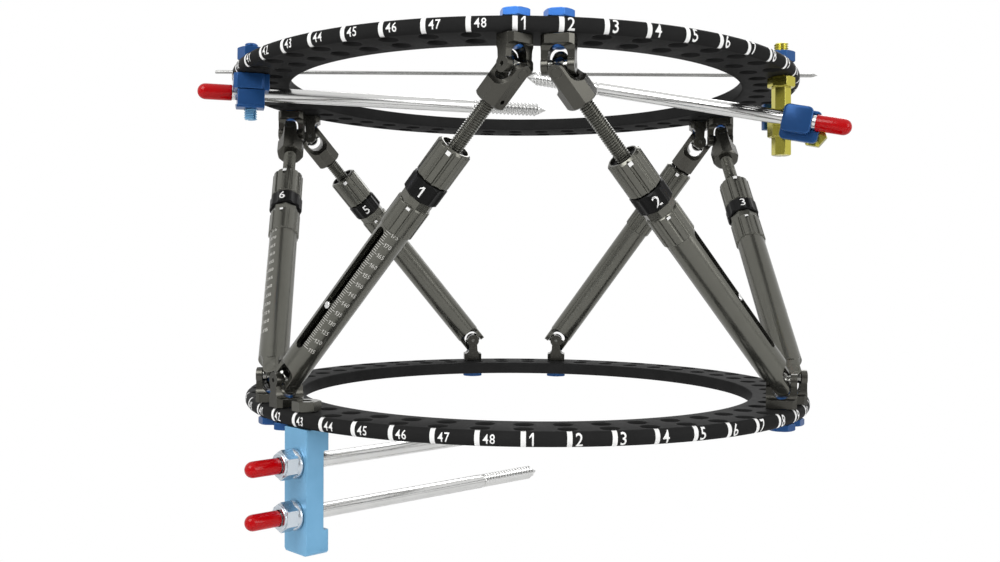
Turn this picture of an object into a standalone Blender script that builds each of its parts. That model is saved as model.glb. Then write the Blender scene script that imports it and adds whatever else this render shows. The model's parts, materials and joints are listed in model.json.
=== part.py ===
import math

import bmesh
import bpy
from mathutils import Matrix, Vector

# Six-strut external fixator: two numbered rings joined by six telescopic
# struts, with a wire, four half pins and their clamps. Lengths in metres.
# Origin at the centre of the lower ring, +Z along its axis, position 1 at -Y.

# Rings
ring_inner_radius = 0.1025
ring_width = 0.0250
ring_thickness = 0.0058
ring_round = 0.0022
ring_positions = 48
ring_sides = 96
hole_radius = 0.0035
hole_margin = 0.0062
inner_margin = 0.0087
hole_sides = 8

# Place of the upper ring over the lower one
ring_rise = 0.14025
ring_shift_x = -0.0065
ring_shift_y = 0.0019
ring_tilt = -3.51
ring_side_tilt = -0.22
ring_twist = 0.99

# Struts: lower hole, upper hole and heading of the yoke axis in degrees
strut_plan = {
    1: (42, 1, 42),
    2: (9, 2, 168),
    3: (10, 17, 180),
    4: (24, 18, 268),
    5: (27, 33, 277),
    6: (41, 34, 0),
}

# Yokes and crosses
joint_height = 0.0112
yoke_gap = 0.0072
yoke_ear = 0.0026
yoke_ear_radius = 0.0032
yoke_neck = 0.0047
yoke_base_depth = 0.0094
yoke_base_height = 0.0040
yoke_edge_drop = 0.0004
yoke_waist_rise = 0.0018
trunnion_radius = 0.0015
trunnion_clearance = 0.0003
cross_height_share = 0.72
cross_clearance = 0.0005
bolt_radius = 0.0030
bolt_head_flats = 0.0100
bolt_head_height = 0.0028
bolt_rise = 0.0007
seat = 0.0003

# Strut tube, counted along the strut from the lower joint
tube_radius = 0.0063
tube_bore = 0.0041
tube_bore_start = 0.0125
fork_gap = 0.0074
fork_depth = 0.0065
fork_shoulder = 0.0080
fork_ear_radius = 0.0031
fork_cheek_share = 0.35
slot_start = 0.0172
slot_width = 0.0040
slot_margin = 0.0010
collar_length = 0.0130
collar_radius = 0.0069
sleeve_length = 0.0033
sleeve_radius = 0.0062
flute_count = 12
flute_depth = 0.0005

# Adjusting nut with its number band
band_length = 0.0077
band_radius = 0.0075
nut_length = 0.0159
nut_radius = 0.0071
nut_bore = 0.0033
nut_mouth_radius = 0.0046
nut_mouth_depth = 0.0050
nut_chamfer = 0.0008
nut_room = 0.00083

# Threaded rod with the upper fork, counted down from the upper joint
rod_radius = 0.0030
upper_fork_across = 0.0120
upper_fork_length = 0.0160
upper_fork_depth = 0.0068
upper_fork_ear_radius = 0.0032
rod_foot_radius = 0.0037
rod_foot_length = 0.0044
indicator_radius = 0.0013
indicator_rise = 0.0019

# Wire over the upper ring
wire_radius = 0.0008
wire_reach = 0.26975
wire_shift = 0.0006
wire_middle = -0.0164
wire_heading = 0.68
wire_point = 0.0020

# Half pins
pin_radius = 0.0030
pin_clearance = 0.0003
pin_point = 0.0040
cap_radius = 0.0034
cap_length = 0.0144
cap_gap = 0.0003
lower_cap_radius = 0.0032
lower_cap_length = 0.0142

# Left clamp under the upper ring
left_hole = 40
left_pin_heading = 15.2
left_pin_slope = -0.3
left_pin_drop = 0.0098
left_pin_offset = 0.0066
left_tip_past = 0.0111
left_stud_radius = 0.0027
left_stud_shift = 0.0003
left_block_left = 0.0070
left_block_right = 0.0061
left_block_front = 0.0062
left_block_back = 0.0054
left_bottom = 0.0177
left_foot_flat = 0.0015
left_foot_lift = 0.0030
left_foot_width = 0.0116
left_stud_bottom = 0.0221
left_nut_height = 0.0051
left_stud_top = 0.0102
stud_slot = 0.0010
stud_slot_turn = 40

# Right post and clamp under the upper ring
right_hole = 10
right_pin_heading = 160.1
right_pin_slope = 12.0
right_pin_drop = 0.0212
right_tip_short = 0.0088
post_flange_height = 0.0043
post_shaft_across = 0.0070
post_wide_across = 0.0100
post_wide_start = 0.0208
post_wide_end = 0.0284
post_bottom = 0.0361
post_thread_top = 0.0111
post_nut_height = 0.0043
post_hole_radius = 0.0019
post_stud_rise = 0.0024
post_stud_turn = 28
body_thickness = 0.0039
body_left = -0.0016
body_right = 0.0172
body_top = 0.0048
body_bottom = 0.0084
back_plate_width = 0.0105
back_plate_height = 0.0110
back_plate_thickness = 0.0036
jaw_width = 0.0120
jaw_height = 0.0114
jaw_thickness = 0.0038
jaw_centre = 0.0081
jaw_corner = 0.0026
clamp_screw_radius = 0.0012
clamp_screw_along = 0.0152
clamp_screw_below = 0.0045
clamp_screw_depth = 0.0016
clamp_nut_flats = 0.0090
clamp_nut_height = 0.0036
right_cap_start = 0.0155

# Pin block under the lower ring
block_hole = 43
block_radial = 0.0103
block_tangential = 0.0156
block_height = 0.0495
block_corner = 0.0010
block_recess = 0.0024
block_recess_start = 0.0088
block_recess_rise = 0.0095
block_bolt_depth = 0.0090
block_head_height = 0.0040
block_pin_drop = 0.0139
block_pin_rise = 0.0152
block_pin_tip = 0.0064
pin_nut_flange_radius = 0.0060
pin_nut_flange = 0.0018
pin_nut_flats = 0.0105
pin_nut_length = 0.0057

ring_outer_radius = ring_inner_radius + ring_width
outer_row = ring_outer_radius - hole_margin
inner_row = ring_inner_radius + inner_margin
half_ring = ring_thickness / 2
yoke_outer = yoke_gap / 2 + yoke_ear
joint_drop = half_ring + joint_height
left_split = left_pin_drop
left_pin_inside = outer_row + left_tip_past
right_pin_inside = outer_row - right_tip_short

for old in list(bpy.data.objects):
    bpy.data.objects.remove(old)

part = bpy.data.collections.new("external_fixator")
tools = bpy.data.collections.new("cutters")
bpy.context.scene.collection.children.link(part)
bpy.context.scene.collection.children.link(tools)


def finish(name, colour, roughness, metallic):
    material = bpy.data.materials.new(name)
    material.use_nodes = True
    shader = material.node_tree.nodes["Principled BSDF"]
    shader.inputs["Base Color"].default_value = (*colour, 1)
    shader.inputs["Roughness"].default_value = roughness
    shader.inputs["Metallic"].default_value = metallic
    return material


black = finish("black_composite", (0.018, 0.018, 0.018), 0.45, 0.0)
gunmetal = finish("gunmetal", (0.17, 0.16, 0.14), 0.38, 0.9)
steel = finish("polished_steel", (0.78, 0.78, 0.77), 0.18, 1.0)
blue = finish("blue_anodised", (0.03, 0.11, 0.38), 0.35, 0.7)
light_blue = finish("light_blue_anodised", (0.16, 0.38, 0.62), 0.4, 0.5)
gold = finish("gold_titanium", (0.55, 0.47, 0.09), 0.3, 0.9)


def shape(mesh_builder):
    """A scratch solid in the cutters' collection, from a bmesh builder."""
    mesh = bpy.data.meshes.new("shape")
    built = bmesh.new()
    mesh_builder(built)
    bmesh.ops.recalc_face_normals(built, faces=built.faces)
    built.to_mesh(mesh)
    built.free()
    item = bpy.data.objects.new("shape", mesh)
    item.hide_render = True
    item.display_type = "WIRE"
    tools.objects.link(item)
    return item


def cylinder(radius, low, high, sides, place=Matrix(), top_radius=None, turn=0.0):
    """A round or many-sided bar along local Z between two heights."""
    end = radius if top_radius is None else top_radius
    middle = Matrix.Translation((0, 0, (low + high) / 2))
    spin = Matrix.Rotation(turn, 4, "Z")

    def build(mesh):
        bmesh.ops.create_cone(mesh, cap_ends=True, cap_tris=False, segments=sides,
                              radius1=radius, radius2=end, depth=high - low,
                              matrix=place @ middle @ spin)
    return shape(build)


def hexagon(flats, low, high, place=Matrix()):
    return cylinder(flats / math.sqrt(3), low, high, 6, place, turn=math.pi / 6)


def box(lows, highs, place=Matrix()):
    sizes = [high - low for low, high in zip(lows, highs)]
    centre = [(high + low) / 2 for low, high in zip(lows, highs)]
    scale = Matrix.Diagonal((*sizes, 1))

    def build(mesh):
        bmesh.ops.create_cube(mesh, size=1, matrix=place @ Matrix.Translation(centre) @ scale)
    return shape(build)


def lathe(profile, sides, place=Matrix()):
    """A turned bar along local Z from (radius, height) pairs, closed at both ends."""
    def build(mesh):
        rows = []
        for radius, height in profile:
            if radius == 0:
                rows.append([mesh.verts.new(place @ Vector((0, 0, height)))] * sides)
                continue
            row = []
            for side in range(sides):
                angle = 2 * math.pi * side / sides
                corner = Vector((radius * math.cos(angle), radius * math.sin(angle), height))
                row.append(mesh.verts.new(place @ corner))
            rows.append(row)
        for lower, upper in zip(rows, rows[1:]):
            for side in range(sides):
                follow = (side + 1) % sides
                corners = dict.fromkeys((lower[side], lower[follow], upper[follow], upper[side]))
                mesh.faces.new(list(corners))
    return shape(build)


def prism(outline, low, high, place=Matrix()):
    """A flat outline filled and extruded along local Z."""
    curve = bpy.data.curves.new("outline", "CURVE")
    curve.dimensions = "2D"
    curve.fill_mode = "BOTH"
    curve.extrude = (high - low) / 2
    spline = curve.splines.new("POLY")
    spline.points.add(len(outline) - 1)
    for point, (x, y) in zip(spline.points, outline):
        point.co = (x, y, 0, 1)
    spline.use_cyclic_u = True
    flat = bpy.data.objects.new("outline", curve)
    tools.objects.link(flat)
    bpy.context.view_layer.update()
    mesh = bpy.data.meshes.new_from_object(flat.evaluated_get(bpy.context.evaluated_depsgraph_get()))
    bpy.data.objects.remove(flat)
    joined = bmesh.new()
    joined.from_mesh(mesh)
    bmesh.ops.remove_doubles(joined, verts=joined.verts, dist=1e-6)
    bmesh.ops.dissolve_limit(joined, angle_limit=0.001, verts=joined.verts, edges=joined.edges)
    bmesh.ops.transform(joined, matrix=place @ Matrix.Translation((0, 0, (low + high) / 2)),
                        verts=joined.verts)
    bmesh.ops.recalc_face_normals(joined, faces=joined.faces)
    joined.to_mesh(mesh)
    joined.free()
    item = bpy.data.objects.new("shape", mesh)
    item.hide_render = True
    item.display_type = "WIRE"
    tools.objects.link(item)
    return item


def combine(first, joins=(), cuts=(), common=()):
    """Union, intersection and difference of scratch solids, as one mesh."""
    for operation, items in (("UNION", joins), ("INTERSECT", common), ("DIFFERENCE", cuts)):
        for item in items:
            step = first.modifiers.new(operation, "BOOLEAN")
            step.operation = operation
            step.solver = "EXACT"
            step.object = item
    bpy.context.view_layer.update()
    mesh = bpy.data.meshes.new_from_object(first.evaluated_get(bpy.context.evaluated_depsgraph_get()))
    for item in (first, *joins, *common, *cuts):
        bpy.data.objects.remove(item)
    clean = bmesh.new()
    clean.from_mesh(mesh)
    bmesh.ops.remove_doubles(clean, verts=clean.verts, dist=2e-6)
    bmesh.ops.dissolve_degenerate(clean, edges=clean.edges, dist=2e-6)
    clean.to_mesh(mesh)
    clean.free()
    return mesh


def piece(name, mesh, material, place=Matrix()):
    mesh.materials.clear()
    mesh.materials.append(material)
    mesh.shade_smooth()
    mesh.set_sharp_from_angle(angle=math.radians(30))
    item = bpy.data.objects.new(name, mesh)
    item.matrix_world = place
    part.objects.link(item)
    return item


def axes(x, y, z, origin):
    """The placing matrix of a frame from its three directions and origin."""
    matrix = Matrix((x, y, z)).transposed().to_4x4()
    matrix.translation = origin
    return matrix


def ring_place(position, radius, height=0.0):
    angle = math.radians(-90 + 360 / ring_positions * (position - 1))
    return Vector((radius * math.cos(angle), radius * math.sin(angle), height))


lower_frame = Matrix()
upper_frame = (
    Matrix.Translation((ring_shift_x, ring_shift_y, ring_rise))
    @ Matrix.Rotation(math.radians(ring_side_tilt), 4, "Y")
    @ Matrix.Rotation(math.radians(ring_tilt), 4, "X")
    @ Matrix.Rotation(math.radians(ring_twist), 4, "Z")
)


def strut_ends(lower_hole, upper_hole):
    """The joint centres of a strut between two holes of the outer rows."""
    lower_joint = ring_place(lower_hole, outer_row, joint_drop)
    return lower_joint, upper_frame @ ring_place(upper_hole, outer_row, -joint_drop)


# The shortest strut leaves only this much thread free above its nut, and its
# indicator stands just above the foot of the slot. All six struts are alike.
ends = [strut_ends(lower_hole, upper_hole) for lower_hole, upper_hole, heading in strut_plan.values()]
shortest_strut = min((upper_joint - lower_joint).length for lower_joint, upper_joint in ends)
nut_start = shortest_strut - upper_fork_length - nut_room - nut_length - band_length
tube_top = nut_start - seat
collar_start = tube_top - sleeve_length - collar_length
slot_end = collar_start - slot_margin
rod_reach = shortest_strut - slot_start - indicator_rise


def ring_mesh():
    """Flat ring with a rounded rim and two rows of through holes."""
    profile = [(ring_inner_radius, half_ring)]
    for step in range(7):
        angle = math.radians(90 - 30 * step)
        rim = ring_outer_radius - ring_round + ring_round * math.cos(angle)
        profile.append((rim, half_ring * math.sin(angle)))
    profile.append((ring_inner_radius, -half_ring))
    mesh = bpy.data.meshes.new("ring_profile")
    edges = [(i, (i + 1) % len(profile)) for i in range(len(profile))]
    mesh.from_pydata([(r, 0, z) for r, z in profile], edges, [])
    ring = bpy.data.objects.new("ring_profile", mesh)
    tools.objects.link(ring)
    turn = ring.modifiers.new("turn", "SCREW")
    turn.steps = ring_sides
    turn.render_steps = ring_sides
    turn.use_merge_vertices = True
    turn.merge_threshold = 0.00001
    bpy.context.view_layer.update()
    turned = bpy.data.meshes.new_from_object(ring.evaluated_get(bpy.context.evaluated_depsgraph_get()))
    bpy.data.objects.remove(ring)
    solid = bpy.data.objects.new("ring_solid", turned)
    tools.objects.link(solid)

    def holes(built):
        for position in range(1, ring_positions + 1):
            for row in (inner_row, outer_row):
                centre = ring_place(position, row)
                turned = math.atan2(centre.y, centre.x) + math.pi / hole_sides
                bmesh.ops.create_cone(
                    built, cap_ends=True, segments=hole_sides, radius1=hole_radius,
                    radius2=hole_radius, depth=2 * ring_thickness,
                    matrix=Matrix.Translation(centre) @ Matrix.Rotation(turned, 4, "Z"))
    return combine(solid, cuts=[shape(holes)])


def yoke_mesh():
    """Forked foot with its bolt: X is the pin axis, +Z leads to the strut."""
    foot = -joint_height + seat
    base_top = -joint_height + yoke_base_height
    half_base = yoke_base_depth / 2
    half_neck = yoke_neck / 2
    edge = base_top - yoke_edge_drop
    waist = base_top + yoke_waist_rise
    outline = [(-half_base, foot), (half_base, foot), (half_base, edge), (half_neck, waist)]
    for step in range(9):
        angle = math.radians(-35 + 250 / 8 * step)
        outline.append((yoke_ear_radius * math.cos(angle), yoke_ear_radius * math.sin(angle)))
    outline += [(-half_neck, waist), (-half_base, edge)]
    along_x = axes(Vector((0, 1, 0)), Vector((0, 0, 1)), Vector((1, 0, 0)), Vector())
    ears = prism(outline, -yoke_outer, yoke_outer, along_x)
    gap = box((-yoke_gap / 2, -half_base * 2, base_top), (yoke_gap / 2, half_base * 2, yoke_ear_radius * 2))
    pin_hole = cylinder(trunnion_radius + trunnion_clearance, -yoke_outer * 2, yoke_outer * 2, 8, along_x)
    head_top = -joint_height - ring_thickness - seat
    shank = cylinder(bolt_radius, head_top - seat, base_top + bolt_rise, 8, turn=math.pi / 8)
    head = hexagon(bolt_head_flats, head_top - bolt_head_height, head_top)
    return combine(ears, joins=[shank, head], cuts=[gap, pin_hole])


def cross_mesh(clearance):
    """Cross of a universal joint: X trunnions in the yoke, Y in the fork."""
    core = yoke_gap / 2 - seat
    along_x = Matrix.Rotation(math.pi / 2, 4, "Y")
    along_y = Matrix.Rotation(math.pi / 2, 4, "X")
    half_height = core * cross_height_share
    block = cylinder(core / math.cos(math.pi / 8), -half_height, half_height, 8, turn=math.pi / 8)
    yoke_pin = cylinder(trunnion_radius, -yoke_outer, yoke_outer, 8, along_x)
    fork_pin = cylinder(trunnion_radius, -tube_radius + clearance, tube_radius - clearance, 8, along_y)
    return combine(block, joins=[yoke_pin, fork_pin])


def fluted(radius, low, high):
    """A bar with shallow lengthwise flutes, wide lands and narrow grooves."""
    outline = []
    for flute in range(flute_count):
        for share, depth in ((0.0, 0.0), (0.55, 0.0), (0.775, flute_depth)):
            angle = 2 * math.pi * (flute + share) / flute_count
            outline.append(((radius - depth) * math.cos(angle), (radius - depth) * math.sin(angle)))
    return prism(outline, low, high)


def fork_outline(ear_radius, shoulder, half_width, top):
    """Side view of a forked end, round ears widening to the full bar."""
    outline = []
    for step in range(7):
        angle = math.radians(180 + 30 * step)
        outline.append((ear_radius * math.cos(angle), ear_radius * math.sin(angle)))
    cheek = shoulder * fork_cheek_share
    outline += [(ear_radius, cheek), (half_width, shoulder), (half_width, top)]
    outline += [(-half_width, top), (-half_width, shoulder), (-ear_radius, cheek)]
    return outline


def tube_mesh():
    """Strut tube: Z up the strut, Y the fork pins, slot on the +X side."""
    side_view = axes(Vector((1, 0, 0)), Vector((0, 0, 1)), Vector((0, -1, 0)), Vector())
    bar = cylinder(tube_radius, -fork_ear_radius * 2, collar_start + seat, 20, turn=math.pi / 20)
    limits = prism(fork_outline(fork_ear_radius, fork_shoulder, tube_radius * 1.2, tube_top),
                   -tube_radius * 1.2, tube_radius * 1.2, side_view)
    reach = tube_radius * 2
    gap = box((-reach, -fork_gap / 2, -reach), (reach, fork_gap / 2, fork_depth))
    pin_hole = cylinder(trunnion_radius + trunnion_clearance, -reach, reach, 8,
                        Matrix.Rotation(math.pi / 2, 4, "X"))
    bore = cylinder(tube_bore, tube_bore_start, tube_top + seat, 12)
    slot = box((0, -slot_width / 2, slot_start), (reach, slot_width / 2, slot_end))
    body = bpy.data.objects.new("tube", combine(bar, common=[limits], cuts=[gap, pin_hole]))
    tools.objects.link(body)
    collar = fluted(collar_radius, collar_start, collar_start + collar_length)
    sleeve = cylinder(sleeve_radius, collar_start + collar_length - seat, tube_top, 12)
    return combine(body, joins=[collar, sleeve], cuts=[bore, slot])


def nut_mesh():
    """Adjusting nut with its number band, Z up the strut."""
    band_top = nut_start + band_length
    top = band_top + nut_length
    band = cylinder(band_radius, nut_start, band_top, 16)
    grip = fluted(nut_radius, band_top - seat, top - nut_chamfer)
    lip = cylinder(nut_radius - flute_depth, top - nut_chamfer - seat, top, 16,
                   top_radius=nut_radius - flute_depth - nut_chamfer)
    bore = cylinder(nut_bore, nut_start - seat, top + seat, 10)
    mouth = cylinder(nut_mouth_radius, top - nut_mouth_depth, top + seat, 12)
    return combine(band, joins=[grip, lip], cuts=[bore, mouth])


def rod_mesh(boss_turn):
    """Threaded rod under its fork: Z up the strut, origin at the upper joint."""
    side_view = axes(Vector((1, 0, 0)), Vector((0, 0, -1)), Vector((0, 1, 0)), Vector())
    half = upper_fork_across / 2
    corner = half / math.cos(math.pi / 8)
    bar = cylinder(corner, -upper_fork_length, upper_fork_ear_radius, 8, turn=math.pi / 8)
    limits = prism(fork_outline(upper_fork_ear_radius, fork_shoulder, half * 1.3, upper_fork_length * 1.3),
                   -half, half, side_view)
    gap = box((-half * 2, -fork_gap / 2, -upper_fork_depth), (half * 2, fork_gap / 2, half * 2))
    pin_hole = cylinder(trunnion_radius + cross_clearance, -half * 2, half * 2, 8,
                        Matrix.Rotation(math.pi / 2, 4, "X"))
    fork = bpy.data.objects.new("fork", combine(bar, common=[limits], cuts=[gap, pin_hole]))
    tools.objects.link(fork)
    rod = cylinder(rod_radius, -rod_reach, -upper_fork_length + seat, 12)
    foot = cylinder(rod_foot_radius, -rod_reach - rod_foot_length / 2, -rod_reach + rod_foot_length / 2, 12)
    boss_place = (Matrix.Translation((0, 0, -rod_reach)) @ Matrix.Rotation(boss_turn, 4, "Z")
                  @ Matrix.Rotation(math.pi / 2, 4, "Y"))
    boss = cylinder(indicator_radius, 0, tube_radius - seat, 8, boss_place)
    return combine(fork, joins=[rod, foot, boss])


ring_solid = ring_mesh()
piece("lower_ring", ring_solid, black, lower_frame)
piece("upper_ring", ring_solid.copy(), black, upper_frame)

yoke_solid = yoke_mesh()
cross_solid = cross_mesh(seat)
upper_cross_solid = cross_mesh(tube_radius - upper_fork_across / 2)
tube_solid = tube_mesh()
nut_solid = nut_mesh()

for number, (lower_hole, upper_hole, heading) in strut_plan.items():
    lower_joint, upper_joint = strut_ends(lower_hole, upper_hole)
    along = (upper_joint - lower_joint).normalized()
    heading_angle = math.radians(heading)
    lower_axis = Vector((math.cos(heading_angle), math.sin(heading_angle), 0))
    up = Vector((0, 0, 1))
    ring_up = (upper_frame.to_3x3() @ up).normalized()
    upper_axis = (lower_axis - ring_up * lower_axis.dot(ring_up)).normalized()
    fork_axis = lower_axis.cross(along).normalized()
    slot_side = fork_axis.cross(along)
    upper_fork_axis = upper_axis.cross(along).normalized()
    upper_side = upper_fork_axis.cross(along)
    piece(f"lower_yoke_{number}", yoke_solid.copy(), gunmetal,
          axes(lower_axis, up.cross(lower_axis), up, lower_joint))
    piece(f"upper_yoke_{number}", yoke_solid.copy(), gunmetal,
          axes(upper_axis, upper_axis.cross(ring_up), -ring_up, upper_joint))
    piece(f"lower_cross_{number}", cross_solid.copy(), steel,
          axes(lower_axis, fork_axis, lower_axis.cross(fork_axis), lower_joint))
    piece(f"upper_cross_{number}", upper_cross_solid.copy(), steel,
          axes(upper_axis, upper_fork_axis, upper_axis.cross(upper_fork_axis), upper_joint))
    strut_frame = axes(slot_side, along.cross(slot_side), along, lower_joint)
    piece(f"strut_tube_{number}", tube_solid.copy(), gunmetal, strut_frame)
    piece(f"adjusting_nut_{number}", nut_solid.copy(), gunmetal, strut_frame)
    boss_turn = math.atan2(slot_side.dot(along.cross(upper_side)), slot_side.dot(upper_side))
    piece(f"threaded_rod_{number}", rod_mesh(boss_turn), gunmetal,
          axes(upper_side, along.cross(upper_side), along, upper_joint))


def half_pin_mesh(inside, outside, cap_radius, cap_length):
    """Half pin along X with its tip at +X and the rubber cap at -X."""
    cap_end = -outside - cap_length
    profile = [(0, cap_end)]
    for angle in (30, 60, 90):
        turn = math.radians(angle)
        profile.append((cap_radius * math.sin(turn), cap_end + cap_radius * (1 - math.cos(turn))))
    profile += [(cap_radius, -outside), (pin_radius, -outside), (pin_radius, inside - pin_point),
                (pin_radius * 0.3, inside), (0, inside)]
    return combine(lathe(profile, 10, Matrix.Rotation(math.pi / 2, 4, "Y")))


def pin_frame(point, heading, slope):
    """Frame whose X runs along a pin towards its tip and whose Z leads up."""
    across = math.cos(slope)
    x = Vector((across * math.cos(heading), across * math.sin(heading), math.sin(slope)))
    y = Vector((-math.sin(heading), math.cos(heading), 0))
    return axes(x, y, x.cross(y), point)


# Wire lying across the upper ring, its point at the right
wire_place = (
    upper_frame @ Matrix.Translation((wire_shift, wire_middle, half_ring + seat + wire_radius))
    @ Matrix.Rotation(math.radians(wire_heading), 4, "Z")
)
wire_along = Matrix.Rotation(math.pi / 2, 4, "Y")
wire_end = wire_reach / 2
wire_profile = [(0, -wire_end), (wire_radius, -wire_end), (wire_radius, wire_end - wire_point), (0, wire_end)]
piece("wire", combine(lathe(wire_profile, 8, wire_along)), steel, wire_place)

# Left clamp: two blue halves on a slotted stud, the pin between them
left_heading = math.radians(left_pin_heading)
left_stud = ring_place(left_hole, outer_row)
left_side = Vector((-math.sin(left_heading), math.cos(left_heading), 0))
left_pin_point = left_stud + left_side * left_pin_offset - Vector((0, 0, left_pin_drop))
left_pin_place = pin_frame(left_pin_point, left_heading, math.radians(left_pin_slope))
left_place = Matrix.Translation(left_stud) @ Matrix.Rotation(left_heading, 4, "Z")
left_back = left_pin_offset + left_block_back
stud_at = Matrix.Translation((left_stud_shift, 0, 0))
end_view = axes(Vector((0, 1, 0)), Vector((0, 0, 1)), Vector((1, 0, 0)), Vector())


def left_cutters():
    pin_room = cylinder(pin_radius + pin_clearance, -left_block_left * 2, left_block_right * 2, 12,
                        left_place.inverted() @ left_pin_place @ Matrix.Rotation(math.pi / 2, 4, "Y"))
    stud_room = cylinder(left_stud_radius + seat, -left_stud_bottom, 0, 12, stud_at)
    return [pin_room, stud_room]


left_block = box((-left_block_left, -left_block_front, -left_split + seat / 2),
                 (left_block_right, left_back, -half_ring - seat))
foot_top = -left_split - seat / 2
foot_outline = [(-left_block_front, foot_top), (-left_block_front, -left_bottom),
                (left_foot_flat, -left_bottom), (left_back, left_foot_lift - left_bottom), (left_back, foot_top)]
left_foot = prism(foot_outline, -left_foot_width / 2, left_foot_width / 2, end_view)
piece("left_clamp_block", combine(left_block, cuts=left_cutters()), blue, upper_frame @ left_place)
piece("left_clamp_foot", combine(left_foot, cuts=left_cutters()), blue, upper_frame @ left_place)
left_bar = cylinder(left_stud_radius, -left_stud_bottom, left_stud_top, 12, stud_at)
nut_base = half_ring + seat
left_nut = hexagon(bolt_head_flats, nut_base, nut_base + left_nut_height, stud_at)
left_groove = box((-stud_slot / 2, -left_stud_radius * 2, -left_stud_bottom * 1.2),
                  (stud_slot / 2, left_stud_radius * 2, -left_bottom - seat),
                  stud_at @ Matrix.Rotation(math.radians(stud_slot_turn), 4, "Z"))
piece("left_clamp_stud", combine(left_bar, joins=[left_nut], cuts=[left_groove]), blue,
      upper_frame @ left_place)
left_pin = half_pin_mesh(left_pin_inside, left_block_left + cap_gap, cap_radius, cap_length)
piece("upper_left_pin", left_pin, steel, upper_frame @ left_pin_place)

# Right post with its clamp: body behind the pin, jaw in front of it
right_heading = math.radians(right_pin_heading)
right_stud = ring_place(right_hole, outer_row)
post_place = Matrix.Translation(right_stud) @ Matrix.Rotation(right_heading, 4, "Z")
body_back = post_wide_across / 2 + seat
pin_from_post = body_back + body_thickness + seat
right_side = Vector((-math.sin(right_heading), math.cos(right_heading), 0))
right_pin_point = right_stud + right_side * pin_from_post - Vector((0, 0, right_pin_drop))
right_pin_place = pin_frame(right_pin_point, right_heading, math.radians(right_pin_slope))
stud_height = post_stud_rise - right_pin_drop
stud_turn = math.radians(post_stud_turn)
cross_hole = (Matrix.Translation((0, 0, stud_height)) @ Matrix.Rotation(stud_turn, 4, "Z")
              @ Matrix.Rotation(math.pi / 2, 4, "X"))

flange_bottom = -half_ring - seat - post_flange_height
post_core = hexagon(post_shaft_across, -post_bottom, -half_ring - seat * 2)
post_flange = hexagon(bolt_head_flats, flange_bottom, -half_ring - seat)
post_wide = hexagon(post_wide_across, -post_wide_end, -post_wide_start)
post_thread = cylinder(bolt_radius, -half_ring - seat * 2, post_thread_top, 12)
post_room = cylinder(post_hole_radius, -post_wide_across, post_wide_across, 10, cross_hole)
piece("right_post", combine(post_core, joins=[post_flange, post_wide, post_thread], cuts=[post_room]), gold,
      upper_frame @ post_place)
post_nut_room = cylinder(bolt_radius + seat, 0, post_thread_top, 12)
post_nut = hexagon(bolt_head_flats, half_ring + seat, half_ring + seat + post_nut_height)
piece("right_post_nut", combine(post_nut, cuts=[post_nut_room]), blue, upper_frame @ post_place)

# The clamp is built in the pin's frame, whose Y here leads away from the post
outward = -1
body = box((-body_right, -seat - body_thickness, -body_bottom), (body_left, -seat, body_top))
jaw_half_width = jaw_width / 2
jaw_half_height = jaw_height / 2
jaw_outline = []
for corner in range(4):
    side_x = 1 if corner in (0, 3) else -1
    side_z = 1 if corner in (0, 1) else -1
    centre_x = outward * jaw_centre + side_x * (jaw_half_width - jaw_corner)
    centre_z = side_z * (jaw_half_height - jaw_corner)
    for step in range(4):
        angle = math.radians(90 * corner + 30 * step)
        jaw_outline.append((centre_x + jaw_corner * math.cos(angle), centre_z + jaw_corner * math.sin(angle)))
front_view = axes(Vector((1, 0, 0)), Vector((0, 0, 1)), Vector((0, -1, 0)), Vector())
jaw = prism(jaw_outline, -seat - jaw_thickness, -seat, front_view)
clamp_x = -clamp_screw_along
clamp_hole = Matrix.Translation((clamp_x, 0, -clamp_screw_below)) @ Matrix.Rotation(math.pi / 2, 4, "X")


def right_pin_room():
    return cylinder(pin_radius + pin_clearance, -body_right * 2, body_right * 2, 12,
                    Matrix.Rotation(math.pi / 2, 4, "Y"))


stud_in_post = right_pin_place.inverted() @ post_place @ cross_hole
plate_gap = post_wide_across / math.sqrt(3) + seat
stud_front = -(body_back + body_thickness / 2) / math.cos(stud_turn)
stud_end = plate_gap + back_plate_thickness / 2
stud_bar = cylinder(post_hole_radius - seat, stud_front, stud_end, 8, stud_in_post)
plate_place = stud_in_post @ Matrix.Rotation(-math.pi / 2, 4, "X")
back_plate = box((-back_plate_width / 2, -plate_gap - back_plate_thickness, -back_plate_height / 2),
                 (back_plate_width / 2, -plate_gap, back_plate_height / 2), plate_place)
screw_back = seat * 2 + body_thickness
screw_front = screw_back - clamp_screw_depth
screw_room = cylinder(clamp_screw_radius + seat, screw_front - seat, screw_back, 8, clamp_hole)
cap_room = cylinder(cap_radius + pin_clearance, -body_right * 2, pin_clearance - right_cap_start, 12,
                    Matrix.Rotation(math.pi / 2, 4, "Y"))
body_cuts = [right_pin_room(), screw_room, cap_room]
piece("right_clamp_body", combine(body, joins=[stud_bar, back_plate], cuts=body_cuts), blue,
      upper_frame @ right_pin_place)
piece("right_clamp_jaw", combine(jaw, cuts=[right_pin_room()]), blue, upper_frame @ right_pin_place)
clamp_screw = cylinder(clamp_screw_radius, screw_front, screw_back + seat, 8, clamp_hole)
clamp_nut = hexagon(clamp_nut_flats, screw_back, screw_back + clamp_nut_height, clamp_hole)
piece("right_clamp_screw", combine(clamp_nut, joins=[clamp_screw]), gold, upper_frame @ right_pin_place)
right_pin = half_pin_mesh(right_pin_inside, right_cap_start, cap_radius, cap_length)
piece("upper_right_pin", right_pin, steel, upper_frame @ right_pin_place)

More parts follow.
